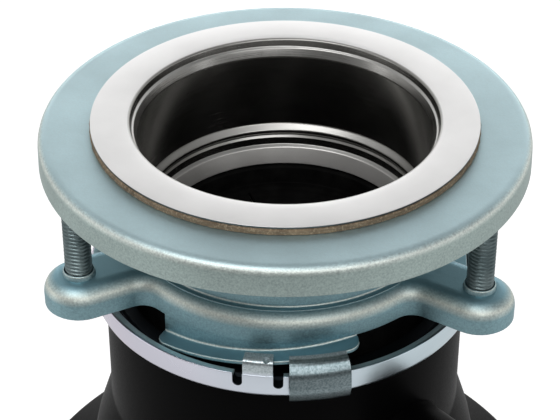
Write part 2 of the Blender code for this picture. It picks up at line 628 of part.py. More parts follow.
def stator():
    """Laminated core with its winding slots and bolt holes, and the winding through the slots."""
    teeth = 10
    bore, slot_floor = 34.0, 50.5
    gate = 360.0 / teeth
    outline = []
    for index in range(teeth):
        middle = gate * index
        outline += arc(bore, middle - 8.0, middle + 8.0, 2)
        outline += arc(slot_floor, middle + 8.5, middle + gate - 8.5, 1)
    core = turned("stator_core", [(STATOR_RADIUS, STATOR_TOP), (STATOR_RADIUS, STATOR_BOTTOM),
                                  (20.0, STATOR_BOTTOM), (20.0, STATOR_TOP)], LAMINATION, INNER_ROUND)
    cut(core, prism("stator_slots", outline, STATOR_TOP + 2.0, STATOR_BOTTOM - 2.0, guide=True))
    for index, centre in enumerate(THROUGH_BOLT_PLACES):
        cut(core, disc(f"stator_hole_{index + 1}", 2.6, STATOR_TOP + 2.0, STATOR_BOTTOM - 2.0, centre=centre,
                       guide=True))
    winding = turned("stator_winding", end_turn(STATOR_TOP + 0.6, 1.0), COPPER, 16)
    join(winding, turned("winding_lower", end_turn(STATOR_BOTTOM - 0.6, -1.0), steps=16, guide=True))
    for index in range(teeth):
        azimuth = 90.0 + gate * (index + 0.5)
        join(winding, block(f"winding_bar_{index + 1}", (11.0, 5.0, STATOR_TOP - STATOR_BOTTOM + 6.0),
                            spot(43.5, azimuth), STATOR_TOP + 3.0, guide=True, turn=heading(azimuth)))


def end_turn(face, side):
    """Section of the winding's end bundle, standing off one face of the core."""
    return [(50.0, face), (50.0, face + side * 6.0), (46.0, face + side * 11.0), (38.0, face + side * 8.0),
            (38.0, face)]


def lower_end_frame():
    """Frame below the stator, with the lower bearing hub."""
    frame = turned("lower_end_frame", [
        (STATOR_RADIUS, STATOR_BOTTOM - GAP), (STATOR_RADIUS, -292.0), (62.0, FRAME_BOTTOM),
        (18.0, FRAME_BOTTOM), (18.0, -308.0), (6.4, -308.0), (6.4, -305.0), (13.3, -305.0),
        (13.3, -284.0), (16.5, -284.0), (16.5, -293.0), (61.0, -293.0), (61.0, STATOR_BOTTOM - GAP)],
        CAST, INNER_ROUND)
    for index, centre in enumerate(THROUGH_BOLT_PLACES):
        cut(frame, disc(f"frame_hole_{index + 1}", 2.6, -290.0, -300.0, centre=centre, guide=True))
    for index, centre in enumerate(POST_PLACES):
        cut(frame, disc(f"frame_screw_hole_{index + 1}", SCREW_HOLE, -290.0, -300.0, centre=centre, guide=True))


def through_bolts():
    """Long bolts that hold the motor together."""
    tip, seat, head = -213.0, FRAME_BOTTOM - GAP, -301.0
    for index, centre in enumerate(THROUGH_BOLT_PLACES):
        turned(f"through_bolt_{index + 1}", [
            (0.0, tip), (SCREW_SHANK, tip), (SCREW_SHANK, seat), (4.0, seat), (4.0, head), (0.0, head)],
            BOLT_STEEL, SMALL_ROUND, centre)


# ---------------------------------------------------------------- base

def lower_shell():
    """Outer moulding of the motor with the recessed base panel and the screw posts."""
    inner = SHELL_RADIUS - SHELL_WALL
    tongue = inner - GAP
    tongue_inside = tongue - 1.6
    shell = turned("lower_shell", [
        (KEY_HOLE, PANEL_TOP), (66.0, PANEL_TOP), (69.5, -357.0), (79.0, -357.0), (inner, -336.0),
        (inner, -222.0), (tongue_inside, -219.0), (tongue_inside, SEAM + 5.0), (tongue, SEAM + 5.0),
        (tongue, SEAM - GAP), (SHELL_RADIUS, SEAM - GAP), (SHELL_RADIUS, -336.0), (81.0, BASE),
        (69.0, BASE), (66.0, PANEL_BOTTOM), (KEY_HOLE, PANEL_BOTTOM)], PLASTIC)
    over, under = PANEL_TOP + 9.0, PANEL_BOTTOM - 4.0
    for index, centre in enumerate(POST_PLACES):
        join(shell, disc(f"shell_post_{index + 1}", 6.6, FRAME_BOTTOM - GAP, PANEL_TOP - 1.0, centre=centre,
                         guide=True))
        cut(shell, disc(f"shell_post_hole_{index + 1}", SCREW_HOLE, -290.0, -320.0, centre=centre, guide=True),
            disc(f"shell_post_pocket_{index + 1}", 4.8, POST_FLOOR, under, centre=centre, guide=True))
    cut(shell, disc("button_hole", BUTTON_HOLE, over, under, centre=BUTTON_PLACE, guide=True),
        disc("cable_hole", 11.1, over, under, steps=20, centre=CABLE_PLACE, guide=True),
        disc("ground_hole", SCREW_HOLE, over, under, centre=GROUND_PLACE, guide=True),
        disc("cover_screw_hole", SCREW_HOLE, over, under, centre=COVER_SCREW_PLACE, guide=True),
        block("wiring_window", (44.0, 26.0, 20.0), COVER_PLACE, over, guide=True))


def base_fittings():
    """Shell screws, wiring cover, ground screw, start relay and overload protector with its button."""
    head_radius, head_depth, tip = 4.0, 2.3, -343.0
    for index, centre in enumerate(POST_PLACES):
        seat = POST_FLOOR - GAP
        screw(f"shell_screw_{index + 1}", BOLT_STEEL, centre, 4.2, seat - 2.7, SCREW_SHANK, -294.0, seat)
    seat = PANEL_BOTTOM - GAP
    screw("ground_screw", GREEN, GROUND_PLACE, head_radius, seat - head_depth, SCREW_SHANK, tip, seat)
    sheet = 1.5
    cover = block("wiring_cover", (50.0, 42.0, sheet), COVER_PLACE, seat, ZINC)
    cut(cover, disc("wiring_cover_hole", SCREW_HOLE, -345.0, -358.0, centre=COVER_SCREW_PLACE, guide=True))
    seat -= sheet + GAP
    screw("wiring_cover_screw", BOLT_STEEL, COVER_SCREW_PLACE, head_radius, seat - head_depth, SCREW_SHANK,
          tip, seat)
    block("start_relay", (30.0, 22.0, 24.0), (-31.0 * MM, -24.0 * MM), FRAME_BOTTOM - GAP, PLASTIC)
    depth = 16.0
    protector = block("overload_protector", (24.0, 22.0, depth), BUTTON_PLACE, PANEL_TOP + GAP + depth, PLASTIC)
    cut(protector, disc("protector_bore", BUTTON_HOLE, -337.0, PANEL_BOTTOM, centre=BUTTON_PLACE, guide=True))
    disc("reset_button", 5.0, -341.0, -355.4, RED, 16, BUTTON_PLACE)


# ---------------------------------------------------------------- waste outlet

def discharge():
    """Gasket, elbow, clamp flange and screws on the outlet face."""
    face = OUTLET_FACE + GAP
    gasket = tube_ring("discharge_gasket", ELBOW_RADIUS + 3.6, OUTLET_BORE + 1.0, face, face + 3.0, RUBBER)
    elbow_start = face + 3.0 + GAP
    collar = tube_ring("discharge_elbow", ELBOW_RADIUS + 2.4, ELBOW_RADIUS - 2.6, elbow_start,
                       elbow_start + 2.5, PLASTIC)
    start = elbow_start + 1.5
    straight, tail = 13.0, 34.0
    bend_start = start + straight
    bend = [(bend_start + ELBOW_BEND * math.sin(a), OUTLET_HEIGHT - ELBOW_BEND * (1.0 - math.cos(a)))
            for a in (math.radians(15.0 * i) for i in range(7))]
    path = [(start, OUTLET_HEIGHT)] + bend + [(bend[-1][0], bend[-1][1] - tail)]
    join(collar, swept_tube("elbow_tube", path, ELBOW_RADIUS))
    inside = [(start - 6.0, OUTLET_HEIGHT)] + bend + [(bend[-1][0], bend[-1][1] - tail - 4.0)]
    cut(collar, swept_tube("elbow_inside", inside, ELBOW_RADIUS - 2.6))
    clamp_start = elbow_start + 2.5 + GAP
    thickness = 3.0
    before, after = clamp_start - 2.0, clamp_start + thickness + 3.0
    flange = block("elbow_flange", (thickness, 66.0, 46.0), ((clamp_start + thickness / 2) * MM, 0.0),
                   OUTLET_HEIGHT + 23.0, ZINC)
    cut(flange, level_bar("elbow_flange_bore", ELBOW_RADIUS + 0.6, before, after, 90.0, OUTLET_HEIGHT))
    seat = clamp_start + thickness + GAP
    for index, across in enumerate((-OUTLET_SCREWS, OUTLET_SCREWS)):
        cut(flange, level_bar(f"flange_screw_hole_{index + 1}", SCREW_HOLE, before, after, 90.0, OUTLET_HEIGHT,
                              SMALL_ROUND, across))
        head = level_bar(f"elbow_screw_{index + 1}", 4.2, seat, seat + 3.2, 90.0, OUTLET_HEIGHT, SMALL_ROUND,
                         across, BOLT_STEEL)
        join(head, level_bar(f"elbow_screw_shank_{index + 1}", SCREW_SHANK, 93.2, seat + 1.0, 90.0,
                             OUTLET_HEIGHT, SMALL_ROUND, across))


def tube_ring(name, outer, inner, start, end, surface):
    """A ring lying along +X at the outlet height."""
    work = bmesh.new()
    bmesh.ops.create_cone(work, cap_ends=True, segments=20, radius1=outer * MM, radius2=outer * MM,
                          depth=(end - start) * MM)
    middle = Vector(((start + end) / 2 * MM, 0.0, OUTLET_HEIGHT * MM))
    bmesh.ops.transform(work, matrix=Matrix.Translation(middle) @ Matrix.Rotation(math.pi / 2, 4, "Y"),
                        verts=work.verts)
    ring = from_bmesh(name, work, surface)
    cut(ring, level_bar(name + "_bore", inner, start - 2.0, end + 2.0, 90.0, OUTLET_HEIGHT))
    return ring


def swept_tube(name, path, radius):
    """A guide: a round bar along an (x, height) path in the outlet's upright plane."""
    curve = bpy.data.curves.new(name, "CURVE")
    curve.dimensions = "3D"
    curve.bevel_depth = radius * MM
    curve.bevel_resolution = 3
    curve.use_fill_caps = True
    spline = curve.splines.new("POLY")
    spline.points.add(len(path) - 1)
    for point, (x, z) in zip(spline.points, path):
        point.co = (x * MM, 0.0, z * MM, 1.0)
    draft = bpy.data.objects.new(name + "_path", curve)
    GUIDES.objects.link(draft)
    bpy.context.view_layer.update()
    evaluated = draft.evaluated_get(bpy.context.evaluated_depsgraph_get())
    mesh = bpy.data.meshes.new_from_object(evaluated)
    bpy.data.objects.remove(draft, do_unlink=True)
    work = bmesh.new()
    work.from_mesh(mesh)
    bmesh.ops.remove_doubles(work, verts=work.verts, dist=0.00001)
    return from_bmesh(name, work, guide=True)


sink_flange()
fibre_gasket()
backing_ring()
mounting_ring()
mounting_bolts()
snap_ring()
swivel_ring()
cushion_mount()
splash_guard()
grind_chamber()
upper_housing()
chamber_seal()
shredder_ring()
turntable()
impellers()
turntable_nut()
drain_housing()
flange_bolts()
rotor()
bearings()
stator()
lower_end_frame()
through_bolts()
lower_shell()
base_fittings()
discharge()
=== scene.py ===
"""Looks of the kitchen garbage disposal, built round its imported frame.

Outlines are in millimetres in the frame's axes: the origin is the middle of the sink
flange's rim, +Z is up along the motor shaft, and -Y is the front. An azimuth is in
degrees about Z from the front, positive towards +X.
"""
import json
import math

import bmesh
import bpy
from mathutils import Matrix, Vector, noise


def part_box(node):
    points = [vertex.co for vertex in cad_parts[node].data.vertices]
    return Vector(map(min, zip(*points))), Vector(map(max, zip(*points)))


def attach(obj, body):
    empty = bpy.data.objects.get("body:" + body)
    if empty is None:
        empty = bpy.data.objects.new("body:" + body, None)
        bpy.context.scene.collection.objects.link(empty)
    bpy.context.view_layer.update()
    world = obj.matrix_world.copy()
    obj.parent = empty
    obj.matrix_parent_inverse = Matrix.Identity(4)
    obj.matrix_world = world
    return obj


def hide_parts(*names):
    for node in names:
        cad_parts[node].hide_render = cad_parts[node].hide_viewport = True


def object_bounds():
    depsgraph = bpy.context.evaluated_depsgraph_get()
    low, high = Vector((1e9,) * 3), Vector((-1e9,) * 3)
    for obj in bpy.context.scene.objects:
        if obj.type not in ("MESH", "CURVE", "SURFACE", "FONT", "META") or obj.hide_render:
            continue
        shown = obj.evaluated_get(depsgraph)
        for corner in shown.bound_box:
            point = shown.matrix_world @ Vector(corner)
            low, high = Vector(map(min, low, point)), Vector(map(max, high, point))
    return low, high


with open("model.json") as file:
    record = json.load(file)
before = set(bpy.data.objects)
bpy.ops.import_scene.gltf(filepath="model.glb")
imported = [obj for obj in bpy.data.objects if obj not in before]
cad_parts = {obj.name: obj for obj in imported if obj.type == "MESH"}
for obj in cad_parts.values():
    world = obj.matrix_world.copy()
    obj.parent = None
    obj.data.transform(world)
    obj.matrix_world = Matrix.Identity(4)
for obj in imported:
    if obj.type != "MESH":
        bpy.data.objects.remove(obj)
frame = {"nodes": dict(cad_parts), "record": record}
CAD_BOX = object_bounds()

MM = 0.001
GAP = 0.3                       # clearance that the frame keeps between resting pieces
RIM_ROUND = 216                 # steps round the rim and the backing ring
SHELL_ROUND = 180               # steps round the housing and the swivel ring
ROUND = 144                     # steps round the hub
INNER_ROUND = 120               # steps round the large pieces inside
PIPE_ROUND = 64                 # steps round the waste elbow
FINE_ROUND = 40                 # steps round a screw or a short pipe
SMALL_ROUND = 16                # steps round a clearance hole or a wire
SOFT_EDGE = math.radians(38.0)  # creases sharper than this stay sharp
NEARLY_STRAIGHT = math.radians(176.0)
BEND_SHARE = 0.48               # of a segment, the most that a rounded corner takes
AXIS = 0.05                     # radius where a shape that is solid on its axis stops


def low(node):
    """Height of a node's lowest point, in millimetres."""
    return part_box(node)[0].z / MM


def high(node):
    """Height of a node's highest point, in millimetres."""
    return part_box(node)[1].z / MM


def reach(node):
    """Outer radius of a node that is turned about the shaft, in millimetres."""
    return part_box(node)[1].x / MM


def centre_of(node):
    """Middle of a node seen from above, in millimetres."""
    lowest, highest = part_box(node)
    return ((lowest.x + highest.x) / 2 / MM, (lowest.y + highest.y) / 2 / MM)


THIRDS = (0.0, 120.0, 240.0)    # azimuths between what the mount has three of
RIM_RADIUS = reach("sink_flange")
MOUTH_RADIUS = 45.6             # edge where the rim turns down
NOSE_BOTTOM = low("sink_flange")
BACKING_RADIUS = reach("backing_ring")
BACKING_TOP = high("backing_ring")
BACKING_BOTTOM = low("backing_ring")
SWIVEL_RADIUS = 59.5
SWIVEL_TOP = -50.1
SWIVEL_BOTTOM = -57.9
SHELL_RADIUS = reach("lower_shell")
SHELL_WALL = 2.5
SCREW_HOLE = 2.35               # radius of a clearance hole for a 4 mm screw
SEAM = low("upper_housing")
BASE = low("lower_shell")
EAR_AZIMUTHS = (-60.0, 60.0, 180.0)
BOLT_CIRCLE = 67.0
BOLT_RADIUS = 4.0
PLATE_TOP = -35.2               # of the mounting ring
SKIRT_RADIUS = 51.2
SKIRT_BOTTOM = -45.0
HUB_RADIUS = 46.4
RAMP_RADIUS = 56.0
OUTLET_HEIGHT = -191.0
OUTLET_BORE = 15.5
OUTLET_SCREWS = (-27.0, 27.0)   # to each side of the outlet's middle
OUTLET_AZIMUTH = 90.0
ELBOW_RADIUS = 19.05
ELBOW_BEND = 30.0
INLET_AZIMUTH = 45.0
INLET_HEIGHT = -90.5
INLET_RADIUS = 11.0
INLET_END = 97.9                # from the shaft to the nipple's open end
BOSS_END = 80.0                 # of the housing, round the nipple
PANEL_TOP = -349.0              # inside face of the base panel
PANEL_BOTTOM = -352.0
CABLE_PLACE = (42.0, 6.0)       # of the hole that the supply cable comes in by
ON_EDGE = Matrix.Rotation(math.pi / 2, 4, "Y")


# ---- camera and studio

DARK_SIDE = (0.0, -0.6, 0.8)    # direction of the darkest part of the room
# Place and grey of each tone, from the far side of the room to the darkest part.
SKY_TONES = ((0.0, 0.80), (0.30, 0.85), (0.44, 0.98), (0.50, 0.86),
             (0.56, 0.66), (0.66, 0.42), (0.78, 0.26), (1.0, 0.16))


def camera():
    """Long lens from above the front, three degrees round towards +X."""
    distance, elevation, turn = 557.78, math.radians(31.77), math.radians(3.0)
    pitch, yaw, roll = math.radians(2.859), math.radians(-0.144), math.radians(0.219)
    place = Vector((0.0, -distance * math.cos(elevation), distance * math.sin(elevation)))
    right = Vector((1.0, 0.0, 0.0))
    ahead = -place.normalized()
    up = right.cross(ahead)
    ahead = ahead * math.cos(pitch) - up * math.sin(pitch)
    up = right.cross(ahead)
    ahead = ahead * math.cos(yaw) + right * math.sin(yaw)
    right = ahead.cross(up)
    side = right * math.cos(roll) + up * math.sin(roll)
    top = up * math.cos(roll) - right * math.sin(roll)
    axes = Matrix((side, top, -ahead)).transposed().to_4x4()
    data = bpy.data.cameras.new("camera")
    data.sensor_width = 36.0
    data.lens = 122.143
    data.clip_start = 0.01
    eye = bpy.data.objects.new("camera", data)
    eye.matrix_world = Matrix.Rotation(turn, 4, "Z") @ Matrix.Translation(place * MM) @ axes
    bpy.context.scene.collection.objects.link(eye)
    bpy.context.scene.camera = eye


def softbox(name, azimuth, elevation, distance, size, power):
    """A white area light aimed at the mount, its distance and size in metres."""
    data = bpy.data.lights.new(name, "AREA")
    data.shape = "RECTANGLE"
    data.size, data.size_y = size
    data.energy = power
    lamp = bpy.data.objects.new(name, data)
    around, above = math.radians(azimuth - 90.0), math.radians(elevation)
    place = Vector((math.cos(above) * math.cos(around), math.cos(above) * math.sin(around), math.sin(above)))
    aim = Vector((0.0, 0.0, -0.06))
    lamp.location = aim + place * distance
    lamp.rotation_euler = place.to_track_quat("Z", "Y").to_euler()
    bpy.context.scene.collection.objects.link(lamp)


def studio():
    """Bright backdrop and table, a dark room above the front, a pale floor, and soft boxes."""
    bpy.context.scene.view_settings.view_transform = "Standard"
    world = bpy.data.worlds.new("studio")
    bpy.context.scene.world = world
    world.use_nodes = True
    nodes, links = world.node_tree.nodes, world.node_tree.links
    where = nodes.new("ShaderNodeTexCoord")
    toward = nodes.new("ShaderNodeVectorMath")
    toward.operation = "DOT_PRODUCT"
    toward.inputs[1].default_value = DARK_SIDE
    span = nodes.new("ShaderNodeMapRange")
    ramp = nodes.new("ShaderNodeValToRGB")
    links.new(where.outputs["Generated"], toward.inputs[0])
    links.new(toward.outputs["Value"], span.inputs["Value"])
    span.inputs["From Min"].default_value = -1.0
    links.new(span.outputs["Result"], ramp.inputs["Fac"])
    while len(ramp.color_ramp.elements) < len(SKY_TONES):
        ramp.color_ramp.elements.new(0.5)
    for element, (at, grey) in zip(ramp.color_ramp.elements, SKY_TONES):
        element.position = at
        element.color = (grey, grey, grey, 1.0)
    sky = nodes["Background"]
    links.new(ramp.outputs["Color"], sky.inputs["Color"])
    plain = nodes.new("ShaderNodeBackground")
    plain.inputs["Color"].default_value = (1.0, 1.0, 1.0, 1.0)
    path = nodes.new("ShaderNodeLightPath")
    mix = nodes.new("ShaderNodeMixShader")
    links.new(path.outputs["Is Camera Ray"], mix.inputs["Fac"])
    links.new(sky.outputs[0], mix.inputs[1])
    links.new(plain.outputs[0], mix.inputs[2])
    links.new(mix.outputs[0], nodes["World Output"].inputs["Surface"])

    work = bmesh.new()
    bmesh.ops.create_circle(work, cap_ends=True, segments=64, radius=4.0)
    mesh = bpy.data.meshes.new("floor")
    work.to_mesh(mesh)
    work.free()
    floor = bpy.data.objects.new("floor", mesh)
    floor.location.z = CAD_BOX[0].z - 0.0005
    floor.visible_glossy = False
    paint = bpy.data.materials.new("floor_white")
    paint.use_nodes = True
    shader = paint.node_tree.nodes["Principled BSDF"]
    shader.inputs["Base Color"].default_value = (0.86, 0.86, 0.86, 1.0)
    shader.inputs["Roughness"].default_value = 0.9
    shader.inputs["Emission Color"].default_value = (1.0, 1.0, 1.0, 1.0)
    shader.inputs["Emission Strength"].default_value = 0.45
    mesh.materials.append(paint)
    bpy.context.scene.collection.objects.link(floor)

    softbox("key", -28.0, 58.0, 1.1, (0.7, 0.5), 6.0)
    softbox("front", 20.0, 34.0, 1.3, (0.9, 0.35), 4.0)
    softbox("left_strip", -72.0, 12.0, 1.0, (0.25, 0.9), 0.9)
    softbox("right_strip", 66.0, 10.0, 1.0, (0.22, 0.9), 0.7)
    softbox("backdrop", 180.0, 15.0, 1.3, (1.8, 0.30), 3.6)


# ---- materials

class Surface:
    """A Principled material with procedural detail added by short calls."""

    def __init__(self, name, colour, metallic, roughness, **sockets):
        self.made = bpy.data.materials.new(name)
        self.made.use_nodes = True
        self.nodes = self.made.node_tree.nodes
        self.links = self.made.node_tree.links
        self.shader = self.nodes["Principled BSDF"]
        self.shader.inputs["Base Color"].default_value = (*colour, 1.0)
        self.shader.inputs["Metallic"].default_value = metallic
        self.shader.inputs["Roughness"].default_value = roughness
        for socket, value in sockets.items():
            self.shader.inputs[socket.replace("_", " ")].default_value = value
        self.place = self.nodes.new("ShaderNodeTexCoord").outputs["Object"]
        self.normal = None

    def feed(self, value, socket):
        """Sets a socket to a number or a colour, or links it to another socket."""
        if isinstance(value, (int, float)):
            socket.default_value = value
        elif isinstance(value, tuple):
            socket.default_value = (*value, 1.0)
        else:
            self.links.new(value, socket)

    def grain(self, scale, detail=3.0, rough=0.5, place=None):
        """Noise over the surface, scale in cells a metre."""
        texture = self.nodes.new("ShaderNodeTexNoise")
        texture.inputs["Scale"].default_value = scale
        texture.inputs["Detail"].default_value = detail
        texture.inputs["Roughness"].default_value = rough
        self.links.new(place or self.place, texture.inputs["Vector"])
        return texture.outputs["Fac"]

    def streaks(self, across, around, along, rough=0.5):
        """Noise drawn out round the shaft, in cells for a metre outward, a radian and a metre upward."""
        where = self.nodes.new("ShaderNodeCombineXYZ")
        for value, socket in zip(self.polar(), where.inputs):
            self.links.new(value, socket)
        mapping = self.nodes.new("ShaderNodeMapping")
        mapping.inputs["Scale"].default_value = (across, around, along)
        self.links.new(where.outputs[0], mapping.inputs["Vector"])
        return self.grain(1.0, 2.0, rough, mapping.outputs["Vector"])

    def maths(self, operation, first, second=0.0):
        """One Math node; each value is a socket or a number."""
        node = self.nodes.new("ShaderNodeMath")
        node.operation = operation
        self.feed(first, node.inputs[0])
        self.feed(second, node.inputs[1])
        return node.outputs[0]

    def split(self, vector):
        """The X, Y and Z parts of a vector."""
        node = self.nodes.new("ShaderNodeSeparateXYZ")
        self.links.new(vector, node.inputs[0])
        return node.outputs

    def polar(self):
        """Radius, angle in radians and height about the shaft."""
        x, y, z = self.split(self.place)
        square = self.maths("ADD", self.maths("MULTIPLY", x, x), self.maths("MULTIPLY", y, y))
        return self.maths("SQRT", square), self.maths("ARCTAN2", y, x), z

    def upward(self):
        """How far the surface faces up, from -1 to 1."""
        return self.split(self.nodes.new("ShaderNodeNewGeometry").outputs["Normal"])[2]

    def span(self, value, start, end, least, most):
        """A value carried from one range to another, and held inside it."""
        node = self.nodes.new("ShaderNodeMapRange")
        self.links.new(value, node.inputs["Value"])
        for socket, number in zip(("From Min", "From Max", "To Min", "To Max"), (start, end, least, most)):
            node.inputs[socket].default_value = number
        return node.outputs["Result"]

    def blend(self, value, first, second, start, end):
        """A colour between two, as the value goes from start to end."""
        node = self.nodes.new("ShaderNodeMix")
        node.data_type = "RGBA"
        self.links.new(self.span(value, start, end, 0.0, 1.0), node.inputs["Factor"])
        self.feed(first, node.inputs[6])
        self.feed(second, node.inputs[7])
        return node.outputs[2]

    def mottle(self, noise_value, first, second):
        """A colour that drifts between two with a noise."""
        return self.blend(noise_value, first, second, 0.35, 0.65)

    def border(self, value, below, above, at, blur):
        """One colour below a radius or height in millimetres and another above it, blurred to each side."""
        return self.blend(value, below, above, (at - blur) * MM, (at + blur) * MM)

    def tint(self, first, second):
        """One colour multiplied by another."""
        node = self.nodes.new("ShaderNodeMix")
        node.data_type = "RGBA"
        node.blend_type = "MULTIPLY"
        node.inputs["Factor"].default_value = 1.0
        self.links.new(first, node.inputs[6])
        self.links.new(second, node.inputs[7])
        return node.outputs[2]

    def colour(self, socket):
        """Takes the base colour from a socket."""
        self.links.new(socket, self.shader.inputs["Base Color"])

    def roughness(self, noise_value, least, most, satin=None):
        """Roughness that follows a noise between two values, plus a satin part where one is given."""
        rough = self.span(noise_value, 0.3, 0.7, least, most)
        if satin is not None:
            rough = self.maths("ADD", rough, satin)
        self.links.new(rough, self.shader.inputs["Roughness"])

    def relief(self, socket, depth, strength=1.0):
        """Bump whose full height is a depth in millimetres; calls stack up."""
        node = self.nodes.new("ShaderNodeBump")
        node.inputs["Strength"].default_value = strength
        node.inputs["Distance"].default_value = depth * MM
        self.links.new(socket, node.inputs["Height"])
        if self.normal:
            self.links.new(self.normal, node.inputs["Normal"])
        self.normal = node.outputs["Normal"]
        self.links.new(self.normal, self.shader.inputs["Normal"])


def scaled(colour, factor):
    """A colour made lighter or darker."""
    return tuple(factor * part for part in colour)


def stainless():
    """Stainless drawn into a sleeve: bright rim and brushed nose, with painted shade and reflection: dark
    walls and paler ledges by how they face, near black where the mouth's edge turns down.
    """
    nose_top, sleeve_top, rim_bottom = -37.0, -5.7, -0.8
    surface = Surface("stainless", (0.80, 0.80, 0.80), 1.0, 0.2)
    radius, _, height = surface.polar()
    up = surface.upward()
    brushed = surface.streaks(9000.0, 2.2, 9000.0, 0.6)
    clouds = surface.grain(55.0, 4.0)
    rim = surface.mottle(clouds, (0.76, 0.755, 0.75), (0.82, 0.815, 0.81))
    # Painted shade on the upright walls and a painted reflection on the upward-facing ledges, not tones of
    # the steel.
    wall = surface.mottle(clouds, (0.27, 0.266, 0.254), (0.34, 0.335, 0.32))
    ledge = surface.mottle(clouds, (0.42, 0.415, 0.40), (0.48, 0.475, 0.46))
    nose = surface.mottle(clouds, (0.60, 0.59, 0.575), (0.68, 0.67, 0.655))
    outside = surface.mottle(clouds, (0.50, 0.53, 0.55), (0.60, 0.63, 0.65))
    # Painted light by facing: upright faces take the dark wall tone and upward faces the paler ledge tone.
    inside = surface.blend(up, wall, ledge, 0.25, 0.75)
    inside = surface.border(height, nose, inside, nose_top, 0.2)
    sleeve = surface.border(radius, inside, outside, 43.95, 0.1)
    sleeve = surface.border(height, sleeve, inside, sleeve_top, 0.5)
    # Painted shade: near black where the rim turns down from facing up, and the dark wall tone inside the
    # mouth.
    edge = surface.blend(up, (0.10, 0.10, 0.10), rim, 0.3, 0.9)
    face = surface.border(radius, wall, edge, MOUTH_RADIUS + 0.5, 0.3)
    surface.colour(surface.border(height, sleeve, face, rim_bottom, 0.3))
    marks = surface.maths("MULTIPLY", surface.maths("ADD", brushed, clouds), 0.5)
    nose_satin = surface.span(height, (nose_top - 0.2) * MM, (nose_top + 0.2) * MM, 0.34, 0.0)
    satin = surface.maths("MAXIMUM", nose_satin, surface.span(up, 0.2, 0.7, 0.0, 0.20))
    surface.roughness(marks, 0.16, 0.28, satin)
    surface.relief(brushed, 0.0008)
    return surface.made


def grinding_steel():
    """Cast and machined stainless with tool marks and water stains."""
    surface = Surface("grinding_steel", (0.62, 0.61, 0.60), 1.0, 0.32)
    stains = surface.grain(90.0, 5.0)
    surface.colour(surface.mottle(stains, (0.50, 0.49, 0.47), (0.68, 0.67, 0.66)))
    surface.roughness(stains, 0.24, 0.42)
    surface.relief(surface.streaks(4200.0, 1.5, 3000.0), 0.02)
    return surface.made


def zinc_plate():
    """Blue zinc on blasted steel, darker teal on the lower ring, with painted light by facing: a lighter blue
    top, darker sides and a beige painted highlight on the rounded edges.
    """
    surface = Surface("zinc_plate", (0.52, 0.64, 0.68), 1.0, 0.4)
    height = surface.polar()[2]
    clouds = surface.grain(38.0, 4.0)
    grain = surface.grain(1700.0, 2.0, 0.6)
    up = surface.upward()

    def plating_with_painted_light(*tones):
        """Colour of the sides, the rounded edges and the top, each a little cloudy; the step from darker
        sides to a lighter top and the edges' beige band are painted light and a painted highlight.
        """
        side, edge, top = [surface.mottle(clouds, scaled(tone, 0.92), scaled(tone, 1.06)) for tone in tones]
        return surface.blend(up, surface.blend(up, side, edge, 0.12, 0.50), top, 0.55, 0.92)

    # Side, rounded-edge and top tones: the bright edge tone is a painted highlight, and the side-to-top step
    # is painted light.
    upper = plating_with_painted_light((0.360, 0.435, 0.422), (0.660, 0.710, 0.680), (0.470, 0.610, 0.645))
    lower = plating_with_painted_light((0.235, 0.365, 0.405), (0.600, 0.640, 0.600), (0.225, 0.380, 0.440))
    base = surface.border(height, lower, upper, -23.0, 3.0)
    coarse = surface.blend(grain, (0.78, 0.79, 0.79), (1.20, 1.20, 1.18), 0.30, 0.70)
    fine = surface.blend(grain, (0.95, 0.95, 0.95), (1.05, 1.05, 1.05), 0.30, 0.70)
    surface.colour(surface.tint(base, surface.blend(up, coarse, fine, 0.80, 0.96)))
    surface.roughness(grain, 0.44, 0.58)
    surface.relief(grain, 0.03)
    surface.relief(surface.grain(300.0, 3.0), 0.04)
    return surface.made


def bright_zinc():
    """Bright zinc drifting from pale pink to pale blue; teal on the lip, near black below it as painted
    shade, grey on the hooks.
    """
    lip_bottom, lip_radius, hook_bottom = -51.7, 58.9, -49.4
    surface = Surface("bright_zinc", (0.78, 0.79, 0.86), 1.0, 0.28)
    radius, _, height = surface.polar()
    drift = surface.grain(26.0, 3.0)
    across = surface.maths("ADD", surface.split(surface.place)[0], surface.maths("MULTIPLY", drift, 0.05))
    outer = surface.blend(across, (0.64, 0.615, 0.70), (0.56, 0.66, 0.71), -0.020, 0.055)
    lip = surface.mottle(drift, (0.50, 0.68, 0.73), (0.62, 0.80, 0.84))
    grain = surface.grain(1700.0, 2.0, 0.6)
    loop = surface.blend(grain, (0.10, 0.14, 0.15), (0.25, 0.30, 0.315), 0.30, 0.72)
    hook = surface.blend(grain, (0.32, 0.38, 0.40), (0.58, 0.64, 0.66), 0.30, 0.72)
    # Painted shade: near black below the lip, where the inside of the ring lies in shadow.
    inner = surface.border(height, (0.02, 0.025, 0.03), lip, lip_bottom, 0.3)
    band = surface.border(radius, inner, outer, lip_radius, 0.1)
    band = surface.border(height, band, hook, hook_bottom, 0.6)
    surface.colour(surface.border(radius, band, loop, SWIVEL_RADIUS + 0.23, 0.17))
    satin = surface.span(radius, (lip_radius - 0.4) * MM, (lip_radius + 0.1) * MM, 0.30, 0.0)
    surface.roughness(drift, 0.24, 0.32, satin)
    surface.relief(surface.grain(240.0, 2.0), 0.015)
    return surface.made


def plain_metal(name, dark, light, least, most, grain, depth):
    """Plated or cast metal with mottled colour and a fine skin."""
    surface = Surface(name, light, 1.0, least)
    fine = surface.grain(grain, 3.0, 0.6)
    surface.colour(surface.mottle(surface.grain(120.0, 4.0), dark, light))
    surface.roughness(fine, least, most)
    surface.relief(fine, depth)
    return surface.made


